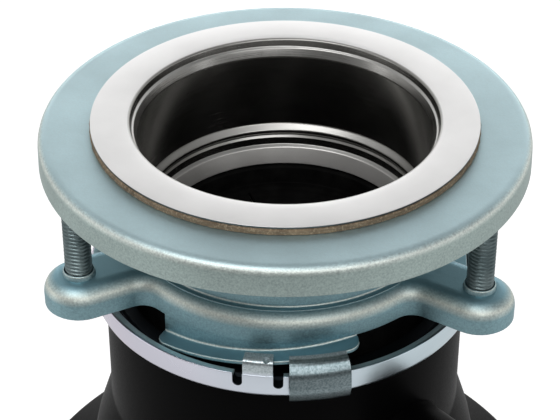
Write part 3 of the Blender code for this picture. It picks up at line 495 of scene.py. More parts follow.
def fibre():
    """Pressed brown board: dark and straw-coloured flecks in a coarse skin."""
    surface = Surface("fibre", (0.30, 0.22, 0.14), 0.0, 0.92)
    flecks = surface.grain(1500.0, 4.0, 0.7)
    broad = surface.grain(210.0, 4.0)
    base = surface.blend(broad, (0.090, 0.064, 0.040), (0.205, 0.150, 0.094), 0.30, 0.70)
    surface.colour(surface.blend(flecks, base, (0.44, 0.35, 0.24), 0.50, 0.78))
    surface.relief(flecks, 0.16)
    surface.relief(broad, 0.20)
    return surface.made


def rubber(name, shade):
    """Moulded black rubber with a little bloom and dust."""
    dark, dusty = (shade, shade, shade), (2.6 * shade, 2.6 * shade, 2.5 * shade)
    surface = Surface(name, dark, 0.0, 0.6, Specular_IOR_Level=0.02)
    bloom = surface.grain(160.0, 5.0, 0.6)
    surface.colour(surface.blend(bloom, dark, dusty, 0.40, 0.75))
    surface.roughness(bloom, 0.48, 0.72)
    surface.relief(surface.grain(1400.0, 3.0), 0.03)
    return surface.made


def plastic(name, shade, least, most, depth):
    """Moulded plastic with a fine spark-eroded skin and soft flow marks."""
    surface = Surface(name, shade, 0.0, least, Specular_IOR_Level=0.022)
    flow = surface.grain(14.0, 3.0)
    skin = surface.grain(1900.0, 3.0, 0.6)
    surface.colour(surface.mottle(flow, shade, scaled(shade, 1.35)))
    surface.roughness(skin, least, most)
    surface.relief(skin, depth)
    surface.relief(flow, 0.10, 0.4)
    return surface.made


def ridges(surface, place, pitch):
    """Even ridges along a place in metres, with a pitch in millimetres."""
    return surface.maths("SINE", surface.maths("MULTIPLY", place, math.tau / (pitch * MM)))


def lamination():
    """Stacked steel sheets, seen as fine lines round the stack."""
    surface = Surface("lamination", (0.32, 0.32, 0.33), 1.0, 0.45)
    rust = surface.grain(130.0, 4.0)
    surface.colour(surface.mottle(rust, (0.24, 0.23, 0.23), (0.40, 0.40, 0.41)))
    surface.roughness(rust, 0.36, 0.55)
    surface.relief(ridges(surface, surface.polar()[2], 0.65), 0.06)
    return surface.made


def copper():
    """Enamelled wire laid in turns along the bundle."""
    surface = Surface("copper", (0.60, 0.27, 0.12), 1.0, 0.3)
    radius, _, height = surface.polar()
    tone = surface.streaks(900.0, 2.0, 900.0)
    surface.colour(surface.mottle(tone, (0.44, 0.17, 0.07), (0.72, 0.34, 0.16)))
    surface.roughness(tone, 0.22, 0.40)
    surface.relief(ridges(surface, surface.maths("ADD", height, radius), 0.9), 0.25)
    return surface.made


# Dark and light tone, least and most roughness, then cells a metre and depth of the skin.
METALS = {
    "plain_zinc": ((0.50, 0.53, 0.55), (0.66, 0.68, 0.69), 0.30, 0.46, 900.0, 0.02),
    "bolt_steel": ((0.10, 0.135, 0.14), (0.18, 0.225, 0.23), 0.34, 0.50, 1400.0, 0.012),
    "chamber_cast": ((0.42, 0.42, 0.42), (0.60, 0.60, 0.59), 0.42, 0.62, 700.0, 0.06),
    "shaft_steel": ((0.44, 0.44, 0.44), (0.56, 0.56, 0.56), 0.18, 0.30, 1500.0, 0.006),
    "bronze": ((0.44, 0.31, 0.15), (0.62, 0.45, 0.25), 0.30, 0.48, 1300.0, 0.03),
}
# Shade, least and most roughness, and depth of the skin.
PLASTICS = {
    "black_plastic": ((0.0010, 0.0010, 0.0011), 0.34, 0.46, 0.012),
    "elbow_plastic": ((0.007, 0.007, 0.0075), 0.22, 0.36, 0.010),
    "relay_plastic": ((0.020, 0.020, 0.019), 0.40, 0.60, 0.020),
    "red_plastic": ((0.52, 0.020, 0.014), 0.26, 0.40, 0.010),
    "green_screw": ((0.035, 0.27, 0.075), 0.28, 0.42, 0.010),
}
FINISH = {
    "stainless": stainless(),
    "grinding_steel": grinding_steel(),
    "fibre": fibre(),
    "zinc_plate": zinc_plate(),
    "bright_zinc": bright_zinc(),
    "rubber": rubber("rubber", 0.002),
    "seal_rubber": rubber("seal_rubber", 0.006),
    "lamination": lamination(),
    "copper": copper(),
    **{name: plain_metal(name, *values) for name, values in METALS.items()},
    **{name: plastic(name, *values) for name, values in PLASTICS.items()},
}
SLOT_OF = {entry["node"]: entry["material_slot"] for entry in frame["record"]["subparts"]}
BODY_OF = {node: body for body, group in frame["record"]["behaviour"]["bodies"].items() for node in group}


# ---- shape helpers

def rounded(outline, radius, closed=True, bits=5):
    """An outline with its corners rounded. A point may carry its own radius as a third number."""
    count = len(outline)
    made = []
    for index, point in enumerate(outline):
        here = Vector(point[:2])
        bend = point[2] if len(point) > 2 else radius
        before = Vector(outline[index - 1][:2]) - here
        after = Vector(outline[(index + 1) % count][:2]) - here
        at_end = not closed and index in (0, count - 1)
        if at_end or bend == 0.0 or before.angle(after) > NEARLY_STRAIGHT:
            made.append(here)
            continue
        trim = min(bend / math.tan(before.angle(after) / 2), BEND_SHARE * min(before.length, after.length))
        start = here + before.normalized() * trim
        end = here + after.normalized() * trim
        for step in range(bits + 1):
            t = step / bits
            made.append(start * (1 - t) ** 2 + here * 2 * t * (1 - t) + end * t * t)
    return made


def made_from(work, name):
    """An object from a bmesh in millimetres, smooth with its creases kept."""
    bmesh.ops.scale(work, vec=(MM, MM, MM), verts=work.verts)
    bmesh.ops.recalc_face_normals(work, faces=work.faces)
    mesh = bpy.data.meshes.new(name)
    work.to_mesh(mesh)
    work.free()
    mesh.shade_smooth()
    mesh.set_sharp_from_angle(angle=SOFT_EDGE)
    made = bpy.data.objects.new(name, mesh)
    bpy.context.scene.collection.objects.link(made)
    return made


def rings(name, rows, across=False, caps=False):
    """A skin through closed rows of points; across joins the last row to the first, and caps closes both."""
    work = bmesh.new()
    grid = [[work.verts.new(point) for point in row] for row in rows]
    bands = len(grid) if across else len(grid) - 1
    for index in range(bands):
        one, two = grid[index], grid[(index + 1) % len(grid)]
        for step in range(len(one)):
            after = (step + 1) % len(one)
            work.faces.new((one[step], one[after], two[after], two[step]))
    if caps:
        work.faces.new(grid[0])
        work.faces.new(grid[-1])
    return made_from(work, name)


def turns(steps):
    """Angles evenly round a full turn."""
    return [math.tau * step / steps for step in range(steps)]


def circle(radius, height, steps, centre=(0.0, 0.0)):
    """A level circle of points round the shaft, or round a line beside it."""
    x, y = centre
    return [(x + radius * math.cos(t), y + radius * math.sin(t), height) for t in turns(steps)]


def lathe(name, outline, steps=ROUND, centre=(0.0, 0.0)):
    """A shape turned about the shaft, or about a line beside it; solid where the outline ends on the axis."""
    on_axis = outline[0][0] == 0.0
    rows = [circle(max(r, AXIS), z, steps, centre) for r, z in outline]
    return rings(name, rows, across=not on_axis, caps=on_axis)


def heading(azimuth):
    """An azimuth as an angle about Z from +X, in radians."""
    return math.radians(azimuth - 90.0)


def spot(radius, azimuth):
    """The X and Y of a place, from its radius and azimuth."""
    return (radius * math.cos(heading(azimuth)), radius * math.sin(heading(azimuth)))


def sweep(name, outline, start, end, steps):
    """A closed outline swept about the shaft between two azimuths."""
    rows = []
    for step in range(steps + 1):
        azimuth = start + (end - start) * step / steps
        rows.append([(*spot(r, azimuth), z) for r, z in outline])
    return rings(name, rows, caps=True)


def turned_bar(name, outline, azimuth, height, steps=FINE_ROUND, across=0.0):
    """A shape turned about a level line out from the shaft: each point is a distance out and a radius."""
    out, side = Vector((*spot(1.0, azimuth), 0.0)), Vector((*spot(1.0, azimuth + 90.0), 0.0))
    up = Vector((0.0, 0.0, 1.0))
    rows = [[out * distance + side * (across + r * math.cos(t)) + up * (height + r * math.sin(t))
             for t in turns(steps)] for distance, r in outline]
    return rings(name, rows, caps=True)


def bar(name, radius, start, end, azimuth, height, steps=FINE_ROUND, across=0.0):
    """A level cylinder out from the shaft, or beside that line by a distance across."""
    return turned_bar(name, [(start, radius), (end, radius)], azimuth, height, steps, across)


def cylinder(name, radius, top, bottom, steps, centre=(0.0, 0.0)):
    """An upright cylinder, for cutting or joining."""
    return rings(name, [circle(radius, height, steps, centre) for height in (top, bottom)], caps=True)


def rectangle(width, depth, corner):
    """A plan for a plate: a function that gives a rounded rectangle drawn in by an inset."""
    def plan(inset):
        """Outline of the rectangle at this inset."""
        x, y, r = width / 2 - inset, depth / 2 - inset, max(corner - inset, 0.2)
        outline = []
        for quarter, (side_x, side_y) in enumerate(((1, 1), (-1, 1), (-1, -1), (1, -1))):
            for step in range(9):
                t = math.pi / 2 * (quarter + step / 8)
                outline.append((side_x * (x - r) + r * math.cos(t), side_y * (y - r) + r * math.sin(t)))
        return outline
    return plan


def plate(name, plan, top, bottom, edge):
    """A flat plate on a plan, with both edges rounded."""
    flat = edge + 0.3
    section = rounded([(flat, top), (0.0, top), (0.0, bottom), (flat, bottom)], edge, closed=False)
    return rings(name, [[(x, y, height) for x, y in plan(inset)] for inset, height in section], caps=True)


def block(name, size, centre, turn=0.0):
    """A box for cutting, given by its size and its centre."""
    work = bmesh.new()
    bmesh.ops.create_cube(work, size=1.0)
    bmesh.ops.scale(work, vec=size, verts=work.verts)
    aim = Matrix.Translation(centre) @ Matrix.Rotation(turn, 4, "Z")
    bmesh.ops.transform(work, matrix=aim, verts=work.verts)
    return made_from(work, name)


def boolean(target, others, operation):
    """Joins helpers to a piece, or cuts them away, and removes them."""
    for other in others:
        step = target.modifiers.new(other.name, "BOOLEAN")
        step.operation = operation
        step.solver = "EXACT"
        step.object = other
    bpy.context.view_layer.update()
    baked = bpy.data.meshes.new_from_object(target.evaluated_get(bpy.context.evaluated_depsgraph_get()))
    target.modifiers.clear()
    target.data = baked
    baked.shade_smooth()
    baked.set_sharp_from_angle(angle=SOFT_EDGE)
    for other in others:
        bpy.data.objects.remove(other, do_unlink=True)


def cut(target, *others):
    """Cuts helpers away from a piece."""
    boolean(target, others, "DIFFERENCE")


def join(target, *others):
    """Joins helpers to a piece."""
    boolean(target, others, "UNION")


def stand_for(piece, node):
    """Files a piece in a CAD node's place: its body, its finish, and its node hidden."""
    piece.data.materials.clear()
    piece.data.materials.append(FINISH[SLOT_OF[node]])
    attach(piece, BODY_OF[node])
    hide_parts(node)


# ---- sink mount

def flange():
    """Drawn flange: flat rim, sharp mouth over a ledge, sleeve, bead, groove and brushed nose."""
    nose = 39.0
    inside = [(RIM_RADIUS, 0.0, 0.2), (48.5, -0.02, 3.0), (MOUTH_RADIUS, -0.15, 0.8), (45.1, -2.5, 0.5),
              (44.5, -2.9, 0.6), (43.5, -5.4, 1.8), (43.5, -29.8, 1.2), (41.9, -31.6, 1.0),
              (41.9, -32.5, 0.4), (42.3, -33.4, 0.3), (41.8, -34.2, 0.3), (41.6, -36.5, 0.3),
              (40.4, -37.1, 0.6), (nose, NOSE_BOTTOM, 0.3)]
    outside = [(nose + 0.9, NOSE_BOTTOM, 0.3), (41.3, -37.9, 0.6), (42.5, -37.3, 0.5), (42.7, -35.0, 0.5),
               (43.3, -33.9, 0.5), (42.8, -32.4, 0.5), (42.8, -31.8, 0.5), (44.4, -30.6, 0.6),
               (44.4, -6.2, 0.8), (45.4, -3.9, 0.6), (46.0, -3.3, 0.6), (46.4, -1.3, 0.8), (49.0, -1.2, 2.0),
               (RIM_RADIUS, -0.68, 0.3)]
    stand_for(lathe("flange_fine", rounded(inside + outside, 0.5), RIM_ROUND), "sink_flange")


def gasket():
    """Board gasket with a rough cut edge."""
    edge, bore, bottom, cut_edge, roughness = RIM_RADIUS + 0.3, 50.0, -2.62, 56.0, 0.22
    made = lathe("gasket_fine", rounded([(edge - 0.5, -0.80), (edge, -1.15), (edge, bottom), (bore, bottom),
                                         (bore, -1.85)], 0.2), 2 * ROUND)
    for vertex in made.data.vertices:
        outward = Vector((vertex.co.x, vertex.co.y, 0.0))
        if outward.length > cut_edge * MM:
            shift = roughness * MM * (noise.noise(vertex.co * 900.0) - 0.6)
            vertex.co += outward.normalized() * shift
    stand_for(made, "fibre_gasket")


def backing_ring():
    """Pressed ring with a rounded outer edge and a short skirt."""
    wall, bore = 1.2, 48.8
    rim, top = BACKING_RADIUS, BACKING_TOP
    outline = [(bore, top, 0.3), (rim - 0.2, top, 3.2), (rim, BACKING_BOTTOM, 0.4),
               (rim - wall, BACKING_BOTTOM, 0.4), (rim - wall - 0.2, top - wall, 2.0),
               (bore, top - wall, 0.3)]
    stand_for(lathe("backing_ring_fine", rounded(outline, 0.4, bits=8), RIM_ROUND), "backing_ring")


def ear_plan(inset):
    """Outline of the mounting ring seen from above, drawn in by the inset."""
    corner, body, half = 6.0 + inset, SKIRT_RADIUS - inset, 10.5 - inset
    centre = math.sqrt((body + corner) ** 2 - (half + corner) ** 2)
    swing = math.atan2(half + corner, centre)
    bends = [math.radians(270.0) - (math.pi / 2 - swing) * step / 10 for step in range(11)]
    upper = [(centre + corner * math.cos(t), half + corner + corner * math.sin(t)) for t in bends]
    tip = [(BOLT_CIRCLE + half * math.cos(t), half * math.sin(t))
           for t in (math.pi * (step / 20 - 0.5) for step in range(21))]
    ear = [(x, -y) for x, y in reversed(upper)] + tip + upper
    between = math.tau / len(EAR_AZIMUTHS) - 2 * swing
    outline = []
    for azimuth in EAR_AZIMUTHS:
        turn = Matrix.Rotation(heading(azimuth), 2)
        outline += [tuple(turn @ Vector(point)) for point in ear]
        arc = [heading(azimuth) + swing + between * step / 30 for step in range(1, 30)]
        outline += [(body * math.cos(t), body * math.sin(t)) for t in arc]
    return outline


def pressed_plate():
    """The mounting ring's plate, with its ears, its wide bend and its skirt."""
    wall, bend, inner_bend, flat = 1.6, 5.6, 4.0, 0.4
    quarter = [math.pi / 2 * step / 12 for step in range(13)]
    section = [(bend + flat, PLATE_TOP)]
    section += [(bend * (1.0 - math.sin(t)), PLATE_TOP - bend * (1.0 - math.cos(t))) for t in quarter]
    section += [(0.0, SKIRT_BOTTOM + 0.4), (0.4, SKIRT_BOTTOM),
                (wall - 0.3, SKIRT_BOTTOM), (wall, SKIRT_BOTTOM + 0.3)]
    section += [(wall + inner_bend * (1.0 - math.sin(t)),
                 PLATE_TOP - wall - inner_bend * (1.0 - math.cos(t))) for t in reversed(quarter)]
    section.append((wall + inner_bend + flat, PLATE_TOP - wall))
    rows = [[(x, y, height) for x, y in ear_plan(inset)] for inset, height in section]
    return rings("mounting_ring_fine", rows, caps=True)


def ramp(offset):
    """A shelf that climbs round the skirt, rounded at its ends, with a web up to the plate."""
    start, end, foot, climb, bend, steps = -40.0, 27.0, -50.9, 5.8, 4.2, 96
    inner, outer, thickness, web = 50.1, SKIRT_RADIUS - 0.3, 1.4, 6.0
    section = rounded([(inner, foot - thickness, 1.6), (RAMP_RADIUS, foot - thickness, 0.5),
                       (RAMP_RADIUS, foot, 0.5), (outer, foot, 1.0), (outer, foot + web, 0.2),
                       (inner, foot + web, 0.2)], 0.3)
    length = math.radians(end - start) * RAMP_RADIUS
    rows = []
    for step in range(steps + 1):
        t = step / steps
        azimuth = start + (end - start) * t + offset
        spare = min(t * length, (1.0 - t) * length, bend)
        inset = bend - math.sqrt(bend ** 2 - (bend - spare) ** 2)
        share = inset / (RAMP_RADIUS - outer)
        rows.append([(*spot(r - share * max(r - outer, 0.0), azimuth), z + climb * t) for r, z in section])
    return rings("ramp", rows, caps=True)


def mounting_ring():
    """Pressed ring: plate with three ears, hub with slots, ramps and bolt collars."""
    hub_top, hub_inside, collar, collar_top = -29.2, HUB_RADIUS - 1.1, 4.9, -33.6
    ring = pressed_plate()
    cut(ring, cylinder("plate_hole", HUB_RADIUS - 0.6, PLATE_TOP + 2.0, PLATE_TOP - 4.0, ROUND))
    join(ring, lathe("hub", rounded([
        (HUB_RADIUS + 1.6, PLATE_TOP - 0.2, 0.1), (HUB_RADIUS, PLATE_TOP - 0.1, 1.2),
        (HUB_RADIUS, hub_top, 1.0), (44.7, hub_top, 0.3), (44.7, -30.4, 0.3), (hub_inside, -30.4, 0.6),
        (hub_inside, PLATE_TOP - 1.0, 0.2), (HUB_RADIUS + 1.6, PLATE_TOP - 1.0, 0.1)], 0.3)))
    cut(ring, *[block("hub_slot", (8.2, 8.2, 2.4), (*spot(HUB_RADIUS, azimuth), -29.6), heading(azimuth))
                for azimuth in range(30, 360, 60)])
    for offset in THIRDS:
        join(ring, ramp(offset))
    section = rounded([(0.0, collar_top), (collar - 0.3, collar_top, 0.5), (collar, PLATE_TOP - 0.2, 0.3),
                       (collar, PLATE_TOP - 1.2), (0.0, PLATE_TOP - 1.2)], 0.3, closed=False)
    for azimuth in EAR_AZIMUTHS:
        centre = spot(BOLT_CIRCLE, azimuth)
        join(ring, lathe("collar", section, FINE_ROUND, centre))
        cut(ring, cylinder("bolt_hole", BOLT_RADIUS + 0.35, -30.0, -42.0, FINE_ROUND, centre))
    stand_for(ring, "mounting_ring")


def mounting_bolts():
    """Bolts with a rolled thread, a narrowed tip and a slotted head below the ear."""
    pitch, depth, steps, rows_a_turn, chamfer, seat, head_radius = 1.25, 0.5, 32, 8, 0.5, -43.2, 6.2
    for index, azimuth in enumerate(EAR_AZIMUTHS):
        name = f"mounting_bolt_{index + 1}"
        place, tip, head = spot(BOLT_CIRCLE, azimuth), high(name), low(name)
        length = tip - chamfer - seat
        rows = [circle(1.4, tip, steps, place)]
        count = int(length / pitch * rows_a_turn)
        for row in range(count + 1):
            height = tip - chamfer - length * row / count
            narrowing = 0.55 + 0.45 * min(1.0, 0.35 + (tip - height) / 2.5)     # full 1.6 mm below the tip
            line = []
            for t in turns(steps):
                phase = (height / pitch + t / math.tau) % 1.0
                crest = min(1.0, 1.45 * abs(2.0 * phase - 1.0))     # flat crests and V-shaped roots
                r = (BOLT_RADIUS - depth * (1.0 - crest)) * narrowing
                line.append((place[0] + r * math.cos(t), place[1] + r * math.sin(t), height))
            rows.append(line)
        edge = rounded([(head_radius, seat, 0.4), (head_radius, head, 1.2), (0.2, head)], 0.3, closed=False)
        rows += [circle(r, height, steps, place) for r, height in edge]
        bolt = rings(name + "_fine", rows, caps=True)
        cut(bolt, block("slot", (13.0, 1.3, 2.4), (*place, head), heading(azimuth)))
        stand_for(bolt, name)


def snap_ring():
    """Open round wire in the groove of the sleeve."""
    wire, middle, height = 0.95, 43.95, -32.0
    section = [(middle + wire * math.cos(t), height + wire * math.sin(t)) for t in turns(SMALL_ROUND)]
    stand_for(sweep("snap_ring_fine", section, -170.0, 170.0, 120), "snap_ring")


def swivel_ring():
    """Ring that carries the disposal: band, lip, stepped floor, three hooks and three turning loops."""
    floor, notch, hooks, loops = -56.4, 1.45, (-8.6, 0.0), (4.3, 20.8)
    beside = math.degrees(notch / SWIVEL_RADIUS)
    ring = lathe("swivel_ring_fine", rounded([
        (SWIVEL_RADIUS, SWIVEL_TOP, 0.5), (SWIVEL_RADIUS - 0.3, SWIVEL_BOTTOM, 1.6),
        (52.4, SWIVEL_BOTTOM, 0.6), (51.6, -57.0, 0.6), (47.2, -57.0, 0.4), (47.2, -55.5, 0.4),
        (52.6, -55.5, 0.7), (53.4, floor, 0.6), (55.4, floor, 0.8), (56.3, -52.4, 0.4), (56.5, -51.0, 0.6),
        (58.8, SWIVEL_TOP - 0.1, 0.8)], 0.5), SHELL_ROUND)
    hook = rounded([(59.35, -52.5, 0.0), (59.35, -45.2, 1.6), (55.0, -45.2, 0.5), (55.0, -46.5, 0.5),
                    (58.15, -46.5, 0.7), (58.15, -52.5, 0.0)], 0.3)
    loop = rounded([(58.6, -58.7, 0.3), (61.6, -57.6, 2.0), (63.0, -53.4, 5.0), (62.6, -48.0, 4.0),
                    (60.2, -44.6, 3.0), (57.2, -44.1, 0.3), (57.2, -45.5, 0.3), (59.8, -46.2, 2.2),
                    (61.2, -49.0, 3.0), (61.5, -53.2, 4.0), (60.2, -56.6, 1.5), (57.6, -57.4, 0.4),
                    (57.6, -58.7, 0.3)], 0.4)
    gap_floor, gap_top = SWIVEL_BOTTOM + 3.3, -43.0
    gap = [(61.0, gap_floor), (61.0, gap_top), (56.5, gap_top), (56.5, gap_floor)]
    for offset in THIRDS:
        cut(ring, sweep("gap", gap, loops[0] + offset, loops[1] + offset, 12))
        for azimuth in (hooks[0] - beside + offset, hooks[1] + beside + offset):
            middle = (*spot(56.5, azimuth), SWIVEL_TOP)
            cut(ring, block("notch", (9.0, 2 * notch, 6.0), middle, heading(azimuth)),
                bar("notch_end", notch, 52.0, 61.0, azimuth, SWIVEL_TOP - 3.0, 24))
        join(ring, sweep("hook", hook, hooks[0] + 0.1 + offset, hooks[1] - 0.1 + offset, 10),
             sweep("loop", loop, loops[0] + 0.1 + offset, loops[1] - 0.1 + offset, 20))
        cut(ring, bar("dimple", 1.3, 56.9, 63.0, hooks[1] - 2.0 + offset, -44.5, 24))
    stand_for(ring, "swivel_ring")


def cushion_and_guard():
    """Rubber mount with lips, and the splash guard with its ribs and flaps."""
    outline = [(42.2, -38.5), (47.2, -38.5), (48.3, -39.8), (48.3, -44.6), (49.3, -46.0), (49.3, -55.2, 0.8),
               (45.9, -55.2), (47.2, -54.2), (47.2, -51.6), (39.5, -51.6), (39.5, -45.5), (42.2, -45.5)]
    stand_for(lathe("cushion_fine", rounded(outline, 0.6), INNER_ROUND), "cushion_mount")
    rib, flap_slope, flap_length = 0.25, -3.0, 27.6
    below = [(38.6 - 29.6 * t, -49.6 + flap_slope * t) for t in (step / 8 for step in range(9))]
    above = [(36.6 - flap_length * step / 16, -48.2 + flap_slope * step / 16 + rib * (step % 2))
             for step in range(17)]
    outline = [(41.7, -42.9), (41.7, -45.2), (39.2, -45.2), *below, *reversed(above), (37.4, -42.9)]
    guard = lathe("splash_guard_fine", rounded(outline, 0.4, bits=3), INNER_ROUND)
    cut(guard, *[block("slit", (26.0, 0.8, 14.0), (*spot(20.0, 23.5 + 60.0 * index), -51.0),
                       heading(23.5 + 60.0 * index)) for index in range(6)])
    stand_for(guard, "splash_guard")


# ---- housing

def upper_housing():
    """Satin black moulding: neck with the inlet's boss, waist, sloping shoulder and wall."""
    inner, top = SHELL_RADIUS - SHELL_WALL, high("upper_housing")
    outside = rounded([(46.3, top), (55.4, top, 1.0), (55.4, -98.0, 6.0), (57.6, -105.0, 6.0),
                       (60.5, -114.0, 8.0), (63.0, -126.0, 8.0), (66.5, -140.0, 5.0), (78.0, -148.0, 8.0),
                       (88.0, -154.5, 10.0), (92.0, -163.0, 8.0), (SHELL_RADIUS, -174.0, 8.0),
                       (SHELL_RADIUS, SEAM + 1.0, 0.5), (SHELL_RADIUS - 0.8, SEAM, 0.3)], 1.0,
                      closed=False, bits=8)
    inside = [(inner, SEAM), (inner, -174.4), (89.2, -164.2), (85.9, -156.8), (76.4, -150.6), (64.0, -141.6),
              (60.5, -126.5), (58.0, -114.6), (55.2, -105.8), (53.0, -98.6), (53.0, -62.0), (46.3, -62.0)]
    housing = lathe("upper_housing_fine", [tuple(point) for point in outside] + inside, SHELL_ROUND)
    boss = rounded([(53.2, AXIS), (53.2, 14.6), (56.5, 14.0, 3.0), (BOSS_END, 13.8, 1.6), (BOSS_END, 11.9),
                    (BOSS_END, AXIS)], 0.4, closed=False)
    join(housing, turned_bar("boss", boss, INLET_AZIMUTH, INLET_HEIGHT))
    cut(housing, bar("inlet_hole", INLET_RADIUS + 0.7, 50.0, BOSS_END + 2.0, INLET_AZIMUTH, INLET_HEIGHT),
        block("outlet_window", (25.0, 68.0, 50.0), (87.5, 0.0, OUTLET_HEIGHT)),
        block("outlet_slot", (25.0, 68.0, 40.0), (87.5, 0.0, OUTLET_HEIGHT - 20.0)))
    stand_for(housing, "upper_housing")


def grind_chamber():
    """Cast container with its ribbed inlet nipple."""
    foot, flange_top, bore = low("grind_chamber"), -165.8, 8.6
    outline = [(42.8, -51.9), (46.9, -51.9), (46.9, -53.8), (45.6, -54.6), (45.6, -64.0), (50.5, -72.0),
               (50.5, -118.0), (66.6, -150.0), (66.6, flange_top), (75.0, flange_top), (75.0, foot),
               (64.0, foot), (64.0, -150.6), (48.0, -118.8), (48.0, -73.0), (42.8, -65.0)]
    chamber = lathe("grind_chamber_fine", rounded(outline, 1.0, bits=3), INNER_ROUND)
    root, crest = INLET_RADIUS - 0.5, INLET_RADIUS + 0.7
    barbs = [(start + along, r) for start in (83.5, 88.0, 92.5)
             for along, r in ((0.0, root), (0.6, crest), (3.2, root))]
    nipple = rounded([(48.6, AXIS), (48.6, INLET_RADIUS), (81.0, INLET_RADIUS), *barbs,
                      (INLET_END, INLET_RADIUS - 0.8, 0.6), (INLET_END, AXIS)], 0.3, closed=False, bits=3)
    join(chamber, turned_bar("nipple", nipple, INLET_AZIMUTH, INLET_HEIGHT))
    cut(chamber, bar("nipple_bore", bore, 46.5, INLET_END + 2.0, INLET_AZIMUTH, INLET_HEIGHT),
        *[cylinder("foot_hole", SCREW_HOLE, -160.0, -172.0, SMALL_ROUND, spot(70.8, azimuth))
          for azimuth in range(15, 360, 90)])
    stand_for(chamber, "grind_chamber")


def lower_shell():
    """Satin black lower case with its tongue, recessed base panel, posts, vents and holes."""
    inner, tongue = SHELL_RADIUS - SHELL_WALL, SHELL_RADIUS - SHELL_WALL - GAP
    top, band, key_hole = SEAM - GAP, SHELL_RADIUS - 0.8, 9.0
    shell = lathe("lower_shell_fine", rounded([
        (key_hole, PANEL_TOP), (66.0, PANEL_TOP), (69.5, -357.0), (79.0, -357.0), (inner, -336.0),
        (inner, -222.0), (tongue - 1.6, -219.0), (tongue - 1.6, SEAM + 5.0), (tongue, SEAM + 5.0),
        (tongue, top, 0.2), (band, top, 0.2), (SHELL_RADIUS, top - 1.0, 0.4),
        (SHELL_RADIUS, -240.0, 0.4), (band, -241.0, 0.4), (band, -243.0, 0.4),
        (SHELL_RADIUS, -244.0, 0.4), (SHELL_RADIUS, -334.0, 10.0), (81.6, BASE, 1.5), (69.0, BASE, 0.8),
        (66.0, PANEL_BOTTOM), (key_hole, PANEL_BOTTOM)], 0.6), SHELL_ROUND)
    for index in range(3):
        place = centre_of(f"shell_screw_{index + 1}")
        join(shell, cylinder("post", 6.6, -297.3, PANEL_TOP - 1.0, FINE_ROUND, place))
        cut(shell, cylinder("post_hole", SCREW_HOLE, -290.0, -320.0, SMALL_ROUND, place),
            cylinder("post_pocket", 4.8, -309.0, -356.0, FINE_ROUND, place))
    above, below = PANEL_TOP + 9.0, PANEL_BOTTOM - 4.0
    panel_holes = ((5.4, FINE_ROUND, centre_of("reset_button")), (11.1, FINE_ROUND, CABLE_PLACE),
                   (SCREW_HOLE, SMALL_ROUND, centre_of("ground_screw")),
                   (SCREW_HOLE, SMALL_ROUND, centre_of("wiring_cover_screw")))
    cut(shell, *[cylinder("panel_hole", radius, above, below, steps, place)
                 for radius, steps, place in panel_holes],
        block("wiring_window", (44.0, 26.0, 20.0), (*centre_of("wiring_cover"), -350.0)))
    vents = [7.5 + 15.0 * index for index in range(24)]
    cut(shell, *[block("vent", (6.0, 2.2, 9.0), (*spot(87.2, azimuth), -346.5), heading(azimuth))
                 for azimuth in vents])
    stand_for(shell, "lower_shell")


def outlet_bar(name, radius, start, end, steps=FINE_ROUND, across=0.0):
    """A level cylinder along the waste outlet, or beside it."""
    return bar(name, radius, start, end, OUTLET_AZIMUTH, OUTLET_HEIGHT, steps, across)


def screw_holes(start, end):
    """Cutters for the two screw holes beside the outlet."""
    return [outlet_bar("screw_hole", SCREW_HOLE, start, end, SMALL_ROUND, across) for across in OUTLET_SCREWS]


def drain_housing():
    """Cast sump with its outlet port and screw pad."""
    pad_centre, face = 94.0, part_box("drain_housing")[1].x / MM
    outline = [(75.0, -172.0), (75.0, -176.0), (66.4, -176.0), (66.4, -207.0), (66.0, -211.0), (66.0, -227.7),
               (61.0, -227.7), (61.0, -211.0), (17.0, -211.0), (17.0, -214.0), (12.2, -214.0), (12.2, -184.0),
               (15.4, -184.0), (18.5, -208.0), (60.4, -208.0), (62.4, -206.0), (62.4, -172.0)]
    drain = lathe("drain_housing_fine", rounded(outline, 0.8, bits=3), INNER_ROUND)
    pad = plate("pad", rectangle(46.0, 64.0, 6.0), 3.0, -3.0, 0.8)
    pad.data.transform(Matrix.Translation(Vector((pad_centre, 0.0, OUTLET_HEIGHT)) * MM) @ ON_EDGE)
    join(drain, outlet_bar("port", 18.5, 62.8, pad_centre), pad)
    cut(drain, outlet_bar("bore", OUTLET_BORE, 56.0, face + 3.0), *screw_holes(pad_centre - 1.5, face + 2.0))
    stand_for(drain, "drain_housing")


def waste_elbow():
    """Moulded elbow with its collar and two beads at the tail."""
    bore = ELBOW_RADIUS - 2.6
    start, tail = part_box("discharge_elbow")[0].x / MM, low("discharge_elbow")
    bend_start = start + 14.5
    centres = [(start + 0.2, OUTLET_HEIGHT, 0.0)]
    centres += [(bend_start + ELBOW_BEND * math.sin(a), OUTLET_HEIGHT - ELBOW_BEND * (1.0 - math.cos(a)), a)
                for a in (math.pi / 2 * step / 24 for step in range(25))]
    centres.append((bend_start + ELBOW_BEND, tail, math.pi / 2))
    skin = [(*place, ELBOW_RADIUS) for place in centres] + [(*place, bore) for place in reversed(centres)]
    rows = [[(x + r * math.sin(t) * math.sin(a), r * math.cos(t), z + r * math.sin(t) * math.cos(a))
             for t in turns(PIPE_ROUND)] for x, z, a, r in skin]
    elbow = rings("discharge_elbow_fine", rows, across=True)
    collar = outlet_bar("collar", ELBOW_RADIUS + 2.4, start, start + 2.5, PIPE_ROUND)
    cut(collar, outlet_bar("collar_bore", bore + 0.05, start - 1.0, start + 4.0, PIPE_ROUND))
    join(elbow, collar)
    root, crest = ELBOW_RADIUS - 0.5, ELBOW_RADIUS + 0.7
    for bottom in (tail + 12.0, tail + 16.0):
        top = bottom + 1.6
        bead = rounded([(root, bottom), (crest, bottom), (crest, top), (root, top)], 0.5)
        join(elbow, lathe("bead", bead, PIPE_ROUND, (bend_start + ELBOW_BEND, 0.0)))
    stand_for(elbow, "discharge_elbow")


